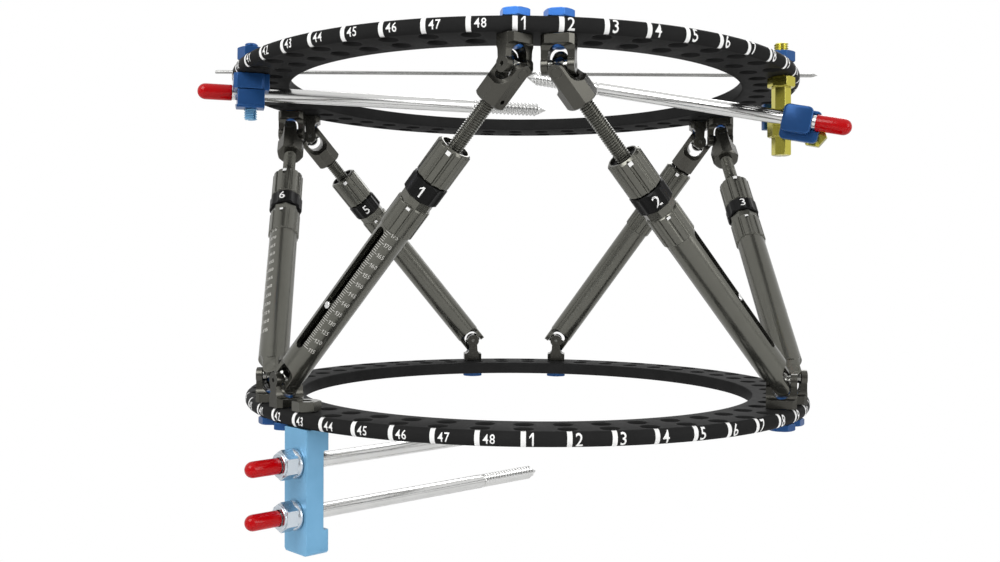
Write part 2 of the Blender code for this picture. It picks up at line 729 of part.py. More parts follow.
# Pin block bolted under the lower ring, its two pins along a radius
block_axis = ring_place(block_hole, outer_row)
block_in = Vector((-block_axis.x, -block_axis.y, 0)).normalized()
block_place = axes(block_in, Vector((0, 0, 1)).cross(block_in), Vector((0, 0, 1)),
                   Vector((block_axis.x, block_axis.y, -half_ring - seat)))
half_r = block_radial / 2
half_t = block_tangential / 2
corner_height = block_corner - block_height
corner_across = half_t - block_corner
block_outline = [(-half_t, 0), (-half_t, corner_height), (-corner_across, -block_height),
                 (corner_across, -block_height), (half_t, corner_height), (half_t, 0)]
block = prism(block_outline, -half_r, half_r, end_view)
recess = box((half_r - block_recess, -block_tangential, block_recess_rise - block_height),
             (half_r * 2, block_tangential, -block_recess_start))
head_base = ring_thickness + seat * 2
block_head = hexagon(bolt_head_flats, head_base, head_base + block_head_height)
block_bolt = cylinder(bolt_radius, -block_bolt_depth, head_base + seat, 8, turn=math.pi / 8)
along_pin = Matrix.Rotation(math.pi / 2, 4, "Y")
pin_depths = (block_pin_drop, block_height - block_pin_rise)
pin_rooms = [cylinder(pin_radius + pin_clearance, -block_radial, block_radial, 12,
                      Matrix.Translation((0, 0, -depth)) @ along_pin) for depth in pin_depths]
block_solid = combine(block, joins=[block_bolt, block_head], cuts=[recess, *pin_rooms])
piece("pin_block", block_solid, light_blue, block_place)

nut_outside = half_r + seat + pin_nut_flange + pin_nut_length
for index, depth in enumerate(pin_depths, start=1):
    place = block_place @ Matrix.Translation((0, 0, -depth))
    flange = cylinder(pin_nut_flange_radius, half_r + seat, half_r + seat + pin_nut_flange, 16)
    nut = hexagon(pin_nut_flats, half_r + seat * 2, nut_outside)
    nut_room = cylinder(pin_radius + pin_clearance, 0, nut_outside * 2, 12)
    outward_view = Matrix.Rotation(-math.pi / 2, 4, "Y")
    piece(f"pin_nut_{index}", combine(flange, joins=[nut], cuts=[nut_room]), steel, place @ outward_view)
    lower_pin = half_pin_mesh(outer_row + block_pin_tip, nut_outside + seat, lower_cap_radius,
                              lower_cap_length)
    piece(f"lower_pin_{index}", lower_pin, steel, place)
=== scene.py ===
import json
import math

import bmesh
import bpy
from mathutils import Matrix, Vector


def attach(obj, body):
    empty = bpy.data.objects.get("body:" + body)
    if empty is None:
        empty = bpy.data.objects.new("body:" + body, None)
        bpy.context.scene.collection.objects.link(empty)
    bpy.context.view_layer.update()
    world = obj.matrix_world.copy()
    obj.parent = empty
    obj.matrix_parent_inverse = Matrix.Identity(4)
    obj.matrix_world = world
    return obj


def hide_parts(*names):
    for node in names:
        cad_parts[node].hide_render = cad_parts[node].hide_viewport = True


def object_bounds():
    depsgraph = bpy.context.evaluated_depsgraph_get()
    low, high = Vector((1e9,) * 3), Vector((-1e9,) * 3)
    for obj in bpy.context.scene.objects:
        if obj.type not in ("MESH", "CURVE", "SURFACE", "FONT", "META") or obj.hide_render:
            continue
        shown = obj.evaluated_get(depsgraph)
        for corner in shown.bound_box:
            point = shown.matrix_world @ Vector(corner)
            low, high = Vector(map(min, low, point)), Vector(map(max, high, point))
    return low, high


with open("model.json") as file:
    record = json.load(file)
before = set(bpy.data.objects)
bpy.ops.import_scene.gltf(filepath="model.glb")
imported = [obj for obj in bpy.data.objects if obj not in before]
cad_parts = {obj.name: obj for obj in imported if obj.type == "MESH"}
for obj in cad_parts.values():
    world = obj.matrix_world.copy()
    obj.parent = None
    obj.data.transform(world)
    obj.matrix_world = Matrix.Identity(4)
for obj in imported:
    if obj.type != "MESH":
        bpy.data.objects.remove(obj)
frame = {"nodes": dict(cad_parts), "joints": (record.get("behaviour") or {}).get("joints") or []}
cadLow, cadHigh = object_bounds()
mm = 0.001  # all sizes in the dictionaries are millimetres
joints = {joint["name"]: joint for joint in frame["joints"]}
print("frame loaded:", len(frame["nodes"]), "nodes")

scene = bpy.context.scene
scene.view_settings.view_transform = "Standard"


# materials

texture = {"bevelSamples": 6, "edgeGain": 4.0, "wearAndHighlightShare": 0.5, "bumpDepth": 0.00006, "cloudScale": 90.0}


def newGroup(name, inputs, outputs):
    group = bpy.data.node_groups.new(name, "ShaderNodeTree")
    for label in inputs:
        group.interface.new_socket(label, in_out="INPUT", socket_type="NodeSocketFloat")
    for label, kind in outputs.items():
        group.interface.new_socket(label, in_out="OUTPUT", socket_type=kind)
    return group, group.nodes.new("NodeGroupInput").outputs, group.nodes.new("NodeGroupOutput").inputs


# sets a socket, or links it when the value is another node's output
def feed(tree, socket, value):
    if hasattr(value, "is_output"):
        tree.links.new(value, socket)
    else:
        socket.default_value = value


def node(tree, kind, values=None, **settings):
    made = tree.nodes.new(kind)
    for label, value in settings.items():
        setattr(made, label, value)
    for label, value in (values or {}).items():
        feed(tree, made.inputs[label], value)
    return made


def math2(tree, operation, first, second):
    return node(tree, "ShaderNodeMath", {0: first, 1: second}, operation=operation).outputs[0]


def mixColour(tree, factor, first, second):
    return node(tree, "ShaderNodeMix", {0: factor, 6: first, 7: second}, data_type="RGBA").outputs[2]


# maps one range of values onto another, clamped at both ends
def ramp(tree, value, fromLow, fromHigh, toLow=0.0, toHigh=1.0):
    values = {"Value": value, "From Min": fromLow, "From Max": fromHigh, "To Min": toLow, "To Max": toHigh}
    return node(tree, "ShaderNodeMapRange", values).outputs["Result"]


# rounded edge normals and a mask of where the edges are
def edgeGroup():
    group, given, result = newGroup("softEdge", ["Radius"],
                                    {"Normal": "NodeSocketVector", "Edge": "NodeSocketFloat"})
    bevel = node(group, "ShaderNodeBevel", {"Radius": given["Radius"]}, samples=texture["bevelSamples"])
    shape = node(group, "ShaderNodeNewGeometry")
    dot = node(group, "ShaderNodeVectorMath", {0: bevel.outputs["Normal"], 1: shape.outputs["Normal"]},
               operation="DOT_PRODUCT")
    flat = math2(group, "SUBTRACT", 1.0, dot.outputs["Value"])
    strong = math2(group, "MULTIPLY", flat, texture["edgeGain"])
    feed(group, result["Normal"], bevel.outputs["Normal"])
    feed(group, result["Edge"], math2(group, "MINIMUM", strong, 1.0))
    return group


# fine lines left by the cutter, running round local Z, and slow cloudiness
def grainGroup():
    group, given, result = newGroup("machinedGrain", ["Lines", "Stretch"],
                                    {"Height": "NodeSocketFloat", "Cloud": "NodeSocketFloat"})
    where = node(group, "ShaderNodeTexCoord").outputs["Object"]
    squeeze = node(group, "ShaderNodeCombineXYZ", {"X": given["Stretch"], "Y": given["Stretch"], "Z": 1.0})
    scaled = node(group, "ShaderNodeVectorMath", {0: where, 1: squeeze.outputs[0]}, operation="MULTIPLY")
    lines = node(group, "ShaderNodeTexNoise",
                 {"Vector": scaled.outputs[0], "Scale": given["Lines"], "Detail": 2.0, "Roughness": 0.6})
    cloud = node(group, "ShaderNodeTexNoise",
                 {"Vector": where, "Scale": texture["cloudScale"], "Detail": 4.0, "Roughness": 0.55})
    feed(group, result["Height"], lines.outputs["Fac"])
    feed(group, result["Cloud"], cloud.outputs["Fac"])
    return group


softEdge = edgeGroup()
machinedGrain = grainGroup()

darkMetal = {"metal": 0.85, "rough": 0.25, "spread": 0.01, "lines": 700, "stretch": 0.03, "bump": 0.003,
             "edge": 0.00015, "specular": 0.4, "slot": "gunmetal"}
brightMetal = {"metal": 1.0, "rough": 0.2, "spread": 0.01, "lines": 1200, "stretch": 0.05, "bump": 0.003,
               "edge": 0.00012, "specular": 0.5, "slot": "polished_steel"}
anodised = {"metal": 0.45, "rough": 0.28, "spread": 0.01, "lines": 900, "stretch": 0.4, "bump": 0.003,
            "edge": 0.00035, "specular": 0.3, "crease": 20, "slot": "blue_anodised"}
coating = {"metal": 0.0, "rough": 0.5, "spread": 0.1, "lines": 900, "stretch": 1.0, "bump": 0.05,
           "edge": 0.00005, "specular": 0.5, "slot": None}


# a finish of one family: main colour, its cloudy shade, the lighter colour of its edges (edge wear and
# painted edge highlight), and what differs
def tinted(family, colour, shade, edgeWearAndHighlight, **changes):
    return {**family, "colour": colour, "shade": shade, "edgeWearAndHighlight": edgeWearAndHighlight, **changes}


finishes = {
    "ringComposite": tinted(coating, (0.017, 0.017, 0.017), (0.020, 0.020, 0.020), (0.04, 0.04, 0.04),
                            rough=0.4, spread=0.05, bump=0.01, edge=0.0003, specular=0.004,
                            slot="black_composite"),
    "gunmetal": tinted(darkMetal, (0.125, 0.124, 0.108), (0.118, 0.117, 0.101), (0.24, 0.24, 0.215)),
    "bandBlack": tinted(coating, (0.004, 0.004, 0.004), (0.005, 0.005, 0.005), (0.012, 0.012, 0.012),
                        rough=0.34, spread=0.04, lines=1400, stretch=0.3, bump=0.03, edge=0.00018,
                        specular=0.12, slot="gunmetal"),
    "steel": tinted(brightMetal, (0.66, 0.66, 0.65), (0.63, 0.63, 0.62), (0.80, 0.80, 0.79), rough=0.17,
                    spread=0.02, bump=0.01),
    "forkMetal": tinted(darkMetal, (0.078, 0.076, 0.066), (0.072, 0.070, 0.061), (0.20, 0.20, 0.18),
                        specular=0.3),
    "crossSteel": tinted(brightMetal, (0.24, 0.24, 0.225), (0.22, 0.22, 0.205), (0.4, 0.4, 0.38)),
    "boltBlue": tinted(anodised, (0.042, 0.185, 0.60), (0.040, 0.175, 0.57), (0.22, 0.48, 0.95)),
    "nutSteel": tinted(brightMetal, (0.56, 0.61, 0.66), (0.53, 0.58, 0.63), (0.80, 0.82, 0.84), rough=0.27,
                       edge=0.0002),
    "wireSteel": tinted(brightMetal, (0.40, 0.40, 0.39), (0.34, 0.34, 0.33), (0.5, 0.5, 0.49), spread=0.03,
                        lines=2400, bump=0.03, edge=0.0002),
    "blueAnodised": tinted(anodised, (0.017, 0.077, 0.235), (0.016, 0.072, 0.222), (0.10, 0.28, 0.62)),
    "lightBlueAnodised": tinted(anodised, (0.17, 0.40, 0.62), (0.15, 0.37, 0.58), (0.34, 0.62, 0.85),
                                metal=0.35, rough=0.36, spread=0.02, stretch=0.6, bump=0.005,
                                edge=0.0004, specular=0.5, slot="light_blue_anodised"),
    "gold": tinted(brightMetal, (0.52, 0.47, 0.08), (0.49, 0.44, 0.07), (0.92, 0.86, 0.40), metal=0.95,
                   rough=0.15, lines=900, stretch=0.1, edge=0.0003, slot="gold_titanium"),
    "redCap": tinted(coating, (0.43, 0.001, 0.003), (0.41, 0.001, 0.003), (0.60, 0.006, 0.008), rough=0.16,
                     spread=0.01, lines=700, stretch=0.5, bump=0.002, edge=0.0003, specular=0.2),
    "markWhite": tinted(coating, (0.86, 0.86, 0.85), (0.78, 0.78, 0.77), (0.86, 0.86, 0.85)),
    "scaleGrey": tinted(coating, (0.62, 0.61, 0.57), (0.54, 0.53, 0.50), (0.62, 0.61, 0.57)),
}


def makeMaterial(name, look):
    material = bpy.data.materials.new(name)
    material.use_nodes = True
    tree = material.node_tree
    shader = tree.nodes["Principled BSDF"].inputs
    shader["Metallic"].default_value = look["metal"]
    shader["Specular IOR Level"].default_value = look["specular"]
    edge = node(tree, "ShaderNodeGroup", {"Radius": look["edge"]}, node_tree=softEdge)
    grain = node(tree, "ShaderNodeGroup", {"Lines": look["lines"], "Stretch": look["stretch"]},
                 node_tree=machinedGrain)
    cloud = ramp(tree, grain.outputs["Cloud"], 0.35, 0.65)
    base = mixColour(tree, cloud, (*look["colour"], 1), (*look["shade"], 1))
    # edges take the lighter edge colour: partly edge wear, partly a painted highlight along the edges
    edgeWearAndHighlight = math2(tree, "MULTIPLY", edge.outputs["Edge"], texture["wearAndHighlightShare"])
    feed(tree, shader["Base Color"], mixColour(tree, edgeWearAndHighlight, base, (*look["edgeWearAndHighlight"], 1)))
    half = look["spread"] / 2
    feed(tree, shader["Roughness"], ramp(tree, grain.outputs["Height"], 0.3, 0.7, look["rough"] - half,
                                         look["rough"] + half))
    bump = node(tree, "ShaderNodeBump",
                {"Strength": look["bump"], "Distance": texture["bumpDepth"],
                 "Height": grain.outputs["Height"], "Normal": edge.outputs["Normal"]})
    feed(tree, shader["Normal"], bump.outputs["Normal"])
    return material


materials = {name: makeMaterial(name, look) for name, look in finishes.items()}
print("materials made:", len(materials))


# shapes, all built in millimetres

alongX = Matrix.Rotation(math.pi / 2, 4, "Y")
alongY = Matrix.Rotation(math.pi / 2, 4, "X")
creaseAngle = 32  # degrees, where a finish names none
weldGap = 0.0005
threadGap = 0.0002
cutterReach = 9  # past the walls of any strut part
clearance = 0.3  # round pins, studs and screws


def shift(x=0, y=0, z=0):
    return Matrix.Translation((x, y, z))


def spin(degrees, axis="Z"):
    return Matrix.Rotation(math.radians(degrees), 4, axis)


def around(radius, angle):
    return radius * math.cos(angle), radius * math.sin(angle)


def polygon(corner, count, start=0.0):
    return [around(corner, start + 2 * math.pi * index / count) for index in range(count)]


def arcPoints(centreX, centreZ, radius, start, end, steps=3):
    points = []
    for step in range(steps + 1):
        x, z = around(radius, math.radians(start + (end - start) * step / steps))
        points.append((centreX + x, centreZ + z))
    return points


def cutCorners(west, east, south, north, corner):
    return [(west, south + corner), (west + corner, south), (east - corner, south), (east, south + corner),
            (east, north - corner), (east - corner, north), (west + corner, north), (west, north - corner)]


def moved(shape, matrix):
    bmesh.ops.transform(shape, matrix=matrix, verts=shape.verts)
    if matrix.determinant() < 0:
        bmesh.ops.reverse_faces(shape, faces=shape.faces)
    return shape


def lathe(profile, sides=48, loop=False, turn=0.0):
    shape = bmesh.new()
    rows = []
    for radius, height in profile:
        if radius == 0:
            rows.append([shape.verts.new((0, 0, height))] * sides)
        else:
            rows.append([shape.verts.new((x, y, height)) for x, y in polygon(radius, sides, turn)])
    pairs = list(zip(rows, rows[1:]))
    if loop:
        pairs.append((rows[-1], rows[0]))
    for lower, upper in pairs:
        for side in range(sides):
            follow = (side + 1) % sides
            corners = dict.fromkeys((lower[side], lower[follow], upper[follow], upper[side]))
            shape.faces.new(list(corners))
    bmesh.ops.recalc_face_normals(shape, faces=shape.faces)
    return shape


def rod(radius, low, high, sides=32, chamfer=0.0, turn=0.0):
    if chamfer:
        ends = [(0, low), (radius - chamfer, low), (radius, low + chamfer), (radius, high - chamfer),
                (radius - chamfer, high), (0, high)]
    else:
        ends = [(0, low), (radius, low), (radius, high), (0, high)]
    return lathe(ends, sides, turn=turn)


def prism(outline, low, high):
    shape = bmesh.new()
    bottom = [shape.verts.new((x, y, low)) for x, y in outline]
    top = [shape.verts.new((x, y, high)) for x, y in outline]
    shape.faces.new(bottom)
    shape.faces.new(top)
    for index in range(len(outline)):
        follow = (index + 1) % len(outline)
        shape.faces.new((bottom[index], bottom[follow], top[follow], top[index]))
    bmesh.ops.recalc_face_normals(shape, faces=shape.faces)
    return shape


def soften(shape, offset, profile=0.6, segments=2, edges=None):
    bmesh.ops.bevel(shape, geom=edges or list(shape.edges), offset=offset, segments=segments,
                    profile=profile, affect="EDGES")
    return shape


def block(lows, highs, chamfer=0.0):
    outline = [(lows[0], lows[1]), (highs[0], lows[1]), (highs[0], highs[1]), (lows[0], highs[1])]
    shape = prism(outline, lows[2], highs[2])
    return soften(shape, chamfer) if chamfer else shape


def asObject(shape):
    mesh = bpy.data.meshes.new("scratch")
    shape.to_mesh(mesh)
    shape.free()
    item = bpy.data.objects.new("scratch", mesh)
    scene.collection.objects.link(item)
    return item


def solid(base, joins=(), cuts=(), common=()):
    first = asObject(base)
    others = []
    for operation, shapes in (("UNION", joins), ("INTERSECT", common), ("DIFFERENCE", cuts)):
        for shape in shapes:
            other = asObject(shape)
            step = first.modifiers.new(operation, "BOOLEAN")
            step.operation = operation
            step.solver = "EXACT"
            step.object = other
            others.append(other)
    mesh = bpy.data.meshes.new_from_object(first.evaluated_get(bpy.context.evaluated_depsgraph_get()))
    for item in (first, *others):
        bpy.data.objects.remove(item)
    shape = bmesh.new()
    shape.from_mesh(mesh)
    bmesh.ops.remove_doubles(shape, verts=shape.verts, dist=weldGap)
    bpy.data.meshes.remove(mesh)
    return shape


def merged(shapes):
    mesh = bpy.data.meshes.new("merged")
    whole = bmesh.new()
    for shape in shapes:
        shape.to_mesh(mesh)
        whole.from_mesh(mesh)
        shape.free()
    bpy.data.meshes.remove(mesh)
    return whole


def toMesh(shape, finish, angle=None):
    mesh = bpy.data.meshes.new("piece")
    bmesh.ops.scale(shape, vec=(mm, mm, mm), verts=shape.verts)
    shape.to_mesh(mesh)
    shape.free()
    mesh.materials.append(materials[finish])
    mesh.shade_smooth()
    mesh.set_sharp_from_angle(angle=math.radians(angle or finishes[finish].get("crease", creaseAngle)))
    mesh["finish"] = finish
    return mesh


def place(name, mesh, body, at, nodes=()):
    item = bpy.data.objects.new(name, mesh)
    scene.collection.objects.link(item)
    item.matrix_world = at
    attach(item, body)
    if nodes:
        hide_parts(*nodes)


def axes(x, y, z, origin):
    matrix = Matrix((x, y, z)).transposed().to_4x4()
    matrix.translation = origin
    return matrix


# helical thread of a bar along Z, closed at both ends
def thread(root, crest, pitch, low, high, sides=20):
    shape = bmesh.new()
    section = ((0.0, root), (0.32, crest), (0.5, crest), (0.82, root))
    turns = math.ceil((high - low) / pitch) + 1
    rows = []
    for turn in range(-1, turns):
        for share, radius in section:
            row = []
            for side in range(sides):
                height = low + (turn + share + side / sides) * pitch
                reach = radius
                if height <= low or height >= high:
                    height = min(max(height, low), high)
                    reach = root
                row.append(shape.verts.new((*around(reach, 2 * math.pi * side / sides), height)))
            rows.append(row)
    step = len(section)
    for index in range(len(rows) - 1):
        lower, upper = rows[index], rows[index + 1]
        for side in range(sides - 1):
            shape.faces.new((lower[side], lower[side + 1], upper[side + 1], upper[side]))
        if index + step + 1 < len(rows):
            shape.faces.new((lower[-1], rows[index + step][0], rows[index + step + 1][0], upper[-1]))
    bmesh.ops.remove_doubles(shape, verts=shape.verts, dist=threadGap)
    bmesh.ops.dissolve_degenerate(shape, edges=shape.edges, dist=threadGap)
    loose = [edge for edge in shape.edges if len(edge.link_faces) == 1]
    bmesh.ops.holes_fill(shape, edges=loose, sides=0)
    bmesh.ops.delete(shape, geom=[v for v in shape.verts if not v.link_faces], context="VERTS")
    bmesh.ops.recalc_face_normals(shape, faces=shape.faces)
    return shape


# turned body with tapering ends, which rounds off the corners of a bar
def tapered(radius, low, high, chamfer, spread):
    return lathe([(0, low), (radius - chamfer, low), (radius + spread, low + chamfer),
                  (radius + spread, high - chamfer), (radius - chamfer, high), (0, high)])


def hexHead(flats, low, high, chamfer=0.5):
    corner = flats / math.sqrt(3)
    return solid(prism(polygon(corner, 6), low, high), common=[tapered(corner, low, high, chamfer, chamfer)])


# wide lands with narrow round grooves between them
def flutedOutline(radius, depth, count, groove):
    outline = []
    for index in range(count):
        lands = [((1 - groove) * step / 4, radius) for step in range(5)]
        dips = [(1 - groove + groove * step / 5, radius - depth * math.sin(math.pi * step / 5) ** 0.8)
                for step in range(1, 5)]
        outline += [around(reach, 2 * math.pi / count * (index + share)) for share, reach in lands + dips]
    return outline


def fluted(radius, depth, count, low, high, chamfer, groove=0.4):
    bar = prism(flutedOutline(radius, depth, count, groove), low, high)
    return solid(bar, common=[tapered(radius, low, high, chamfer, 0.1)])


glyphs = {}
glyphWeld = 0.0001  # of a digit's height


# one digit lying flat, 1 high, its lower left corner at the origin; the 1 has a flag and no foot
def glyph(character, bold):
    key = (character, bold)
    if key not in glyphs and character == "1":
        mesh = bpy.data.meshes.new("one")
        corners = [(0.24, 0), (0.39, 0), (0.39, 0.8), (0.24, 0.8), (0.39, 1), (0.24, 1), (0, 0.74), (0, 0.6)]
        mesh.from_pydata([(x, y, 0) for x, y in corners], [], [(0, 1, 2, 3), (3, 2, 4, 5), (7, 3, 5, 6)])
        glyphs[key] = mesh
    if key not in glyphs:
        curve = bpy.data.curves.new("digit", "FONT")
        curve.body = character
        curve.resolution_u = 3
        curve.offset = bold
        curve.fill_mode = "BOTH"
        letter = bpy.data.objects.new("digit", curve)
        scene.collection.objects.link(letter)
        bpy.context.view_layer.update()
        mesh = bpy.data.meshes.new_from_object(letter.evaluated_get(bpy.context.evaluated_depsgraph_get()))
        bpy.data.objects.remove(letter)
        left = min(v.co.x for v in mesh.vertices)
        low = min(v.co.y for v in mesh.vertices)
        size = max(v.co.y for v in mesh.vertices) - low
        for vertex in mesh.vertices:
            vertex.co = ((vertex.co.x - left) / size, (vertex.co.y - low) / size, 0)
        glyphs[key] = mesh
    return glyphs[key]


# flat outline of a number, centred, with its digits cut into thin level strips so it can bend
def number(text, height, bold, squeeze, strips, gap=0.17):
    shape = bmesh.new()
    cursor = 0.0
    for character in text:
        mesh = glyph(character, bold)
        first = len(shape.verts)
        shape.from_mesh(mesh)
        shape.verts.ensure_lookup_table()
        for vertex in shape.verts[first:]:
            vertex.co.x += cursor
        cursor += max(v.co.x for v in mesh.vertices) + gap
    bmesh.ops.remove_doubles(shape, verts=shape.verts, dist=glyphWeld)
    middle = (cursor - gap) / 2
    for vertex in shape.verts:
        vertex.co = Vector(((vertex.co.x - middle) * height * squeeze, (vertex.co.y - 0.5) * height, 0))
    level = -height / 2 + strips
    while level < height / 2:
        bmesh.ops.bisect_plane(shape, geom=shape.verts[:] + shape.edges[:] + shape.faces[:],
                               plane_co=(0, level, 0), plane_no=(0, 1, 0))
        level += strips
    return shape


def bar(left, right, low, high, across, up):
    shape = bmesh.new()
    grid = [[shape.verts.new((left + (right - left) * i / across, low + (high - low) * j / up, 0))
             for i in range(across + 1)] for j in range(up + 1)]
    for j in range(up):
        for i in range(across):
            shape.faces.new((grid[j][i], grid[j][i + 1], grid[j + 1][i + 1], grid[j + 1][i]))
    return shape


def slide(shape, x, y):
    bmesh.ops.translate(shape, vec=(x, y, 0), verts=shape.verts)
    return shape


# wraps a flat mark round an upright surface, lifted a hair off it
def wrap(shape, radius, lift, reachAt=None):
    for vertex in shape.verts:
        x, y, _ = vertex.co
        reach = (reachAt(y) if reachAt else radius) + lift
        vertex.co = Vector((*around(reach, x / radius), y))
    return shape


# camera at the photograph's place, floor, backdrop light

cameraPlan = {"place": (0.00383, -0.54324, 0.07221), "turn": (-2.154, -0.495, 1.755), "lens": 42.27,
              "sensor": 36.0}
camera = bpy.data.objects.new("camera", bpy.data.cameras.new("camera"))
scene.collection.objects.link(camera)
camera.data.lens = cameraPlan["lens"]
camera.data.sensor_width = cameraPlan["sensor"]
camera.data.clip_start = 0.01
turnX, turnY, turnZ = cameraPlan["turn"]
camera.matrix_world = (Matrix.Translation(cameraPlan["place"]) @ spin(turnZ) @ spin(turnY, "Y")
                       @ spin(turnX, "X") @ spin(90, "X"))
scene.camera = camera

studio = {"floorDrop": 0.16, "floorSize": 12.0, "paper": 0.86, "sky": 0.52, "ground": 0.22, "white": 1.0,
          "under": 0.3, "front": 0.34, "nearWhite": 0.9, "nearEdge": 0.25, "farEdge": 0.6}
lamps = {
    "keyLamp": {"place": (-0.75, -0.95, 1.05), "aim": (0, 0, 0.05), "size": 0.9, "power": 16.0},
    "fillLamp": {"place": (1.15, -0.75, 0.45), "aim": (0, 0, 0.08), "size": 0.8, "power": 7.0},
    "backLamp": {"place": (0.35, 1.20, 0.95), "aim": (0, 0, 0.08), "size": 0.9, "power": 9.0},
}
for lampName, plan in lamps.items():
    light = bpy.data.lights.new(lampName, "AREA")
    light.shape = "SQUARE"
    light.size = plan["size"]
    light.energy = plan["power"]
    lamp = bpy.data.objects.new(lampName, light)
    scene.collection.objects.link(lamp)
    lamp.location = plan["place"]
    aim = Vector(plan["aim"]) - Vector(plan["place"])
    lamp.rotation_euler = aim.to_track_quat("-Z", "Y").to_euler()

# even light for matt surfaces, a bright surround with a dark front in reflections, white for the camera
world = bpy.data.worlds.new("studio")
scene.world = world
world.use_nodes = True
sky = world.node_tree
background = sky.nodes["Background"].inputs
rays = node(sky, "ShaderNodeLightPath").outputs
direction = node(sky, "ShaderNodeTexCoord").outputs["Generated"]
split = node(sky, "ShaderNodeSeparateXYZ", {0: direction}).outputs
rise = ramp(sky, split["Z"], -0.35, 0.1, studio["ground"], studio["sky"])
mirror = ramp(sky, split["Z"], -0.5, 0.0, studio["under"], studio["white"])
darkFront = ramp(sky, split["Y"], -0.92, -0.45, studio["front"])
mirrored = math2(sky, "MULTIPLY", mirror, darkFront)
seen = math2(sky, "MAXIMUM", rays["Is Glossy Ray"], rays["Is Transmission Ray"])
soft = node(sky, "ShaderNodeMix", {0: seen, 2: rise, 3: mirrored})
shown = node(sky, "ShaderNodeMix", {0: rays["Is Camera Ray"], 2: soft.outputs[0], 3: studio["white"]})
feed(sky, background["Strength"], shown.outputs[0])
background["Color"].default_value = (1, 1, 1, 1)

floorMesh = bpy.data.meshes.new("floor")
half = studio["floorSize"] / 2
floorZ = cadLow.z - studio["floorDrop"]
floorCorners = ((-half, -half), (half, -half), (half, half), (-half, half))
floorMesh.from_pydata([(x, y, floorZ) for x, y in floorCorners], [], [(0, 1, 2, 3)])
floor = bpy.data.objects.new("floor", floorMesh)
scene.collection.objects.link(floor)
paper = bpy.data.materials.new("paper")
paper.use_nodes = True
paperTree = paper.node_tree
paperShader = paperTree.nodes["Principled BSDF"]
paperShader.inputs["Base Color"].default_value = (studio["paper"], studio["paper"], studio["paper"], 1)
paperShader.inputs["Roughness"].default_value = 0.9
paperShader.inputs["Specular IOR Level"].default_value = 0.0
glow = node(paperTree, "ShaderNodeEmission", {"Color": (1, 1, 1, 1), "Strength": 1.0})
paperWhere = node(paperTree, "ShaderNodeTexCoord").outputs["Object"]
paperReach = node(paperTree, "ShaderNodeVectorMath", {0: paperWhere}, operation="LENGTH").outputs["Value"]
paperFade = ramp(paperTree, paperReach, studio["nearEdge"], studio["farEdge"], studio["nearWhite"])
paperRays = node(paperTree, "ShaderNodeLightPath").outputs
paperSeen = math2(paperTree, "MULTIPLY", paperRays["Is Camera Ray"], paperFade)
paperMix = node(paperTree, "ShaderNodeMixShader",
                {0: paperSeen, 1: paperShader.outputs[0], 2: glow.outputs[0]})
feed(paperTree, paperTree.nodes["Material Output"].inputs["Surface"], paperMix.outputs[0])
floorMesh.materials.append(paper)
print("camera, light and floor set")


# rings

ring = {"inner": 102.5, "outer": 127.5, "thick": 5.8, "outerRound": 2.2, "innerRound": 0.7, "hole": 3.5,
        "holeFlare": 0.45, "margin": 6.2, "innerMargin": 8.7, "positions": 48, "sides": 288}
upperPlace = {"shift": (-6.5, 1.9), "rise": 140.25, "tilt": -3.51, "sideTilt": -0.22, "twist": 0.99}
halfRing = ring["thick"] / 2
outerRow = ring["outer"] - ring["margin"]
innerRow = ring["inner"] + ring["innerMargin"]
lowerAt = Matrix()
upperAt = (Matrix.Translation(Vector((*upperPlace["shift"], upperPlace["rise"])) * mm)
           @ spin(upperPlace["sideTilt"], "Y") @ spin(upperPlace["tilt"], "X") @ spin(upperPlace["twist"]))


def ringAngle(position):
    return math.radians(-90 + 360 / ring["positions"] * (position - 1))


def ringSpot(position, radius):
    return Vector((*around(radius, ringAngle(position)), 0)) * mm


# radius of the rounded rim at a height over the ring's middle
def rimReach(height):
    share = min(abs(height) / halfRing, 1.0)
    return ring["outer"] - ring["outerRound"] * (1 - math.sqrt(1 - share * share))


def ringShape():
    innerR, flare, hole = ring["innerRound"], ring["holeFlare"], ring["hole"]
    heights = [halfRing * math.cos(math.pi * step / 16) for step in range(17)]
    profile = [(rimReach(height), height) for height in heights]
    profile += arcPoints(ring["inner"] + innerR, innerR - halfRing, innerR, -90, -180)
    profile += arcPoints(ring["inner"] + innerR, halfRing - innerR, innerR, 180, 90)
    body = lathe(profile, ring["sides"], loop=True)
    side = [(0, halfRing + flare), (hole + 2 * flare, halfRing + flare), (hole, halfRing - flare)]
    spool = [(reach, -height) for reach, height in side] + side[::-1]
    holes = []
    for position in range(1, ring["positions"] + 1):
        angle = ringAngle(position)
        for row in (innerRow, outerRow):
            holeAt = shift(*around(row, angle)) @ Matrix.Rotation(angle, 4, "Z")
            holes.append(moved(lathe(spool, 24), holeAt))
    return solid(body, cuts=[merged(holes)])


ringMarks = {"bar": 1.9, "single": 4.85, "digit": 3.5, "gap": 1.2, "bold": 0.008, "squeeze": 0.85,
             "strips": 0.26, "lift": 0.04, "margin": 0.02}


def marksShape():
    marks = []
    reach, halfBar = halfRing - ringMarks["margin"], ringMarks["bar"] / 2
    for position in range(1, ring["positions"] + 1):
        tick = bar(-halfBar, halfBar, -reach, reach, 2, 28)
        size = ringMarks["single"] if position < 10 else ringMarks["digit"]
        digits = number(str(position), size, ringMarks["bold"], ringMarks["squeeze"], ringMarks["strips"])
        left = min(v.co.x for v in digits.verts)
        slide(digits, halfBar + ringMarks["gap"] - left, 0)
        for mark in (tick, digits):
            wrapped = wrap(mark, ring["outer"], ringMarks["lift"], rimReach)
            marks.append(moved(wrapped, Matrix.Rotation(ringAngle(position), 4, "Z")))
    return merged(marks)


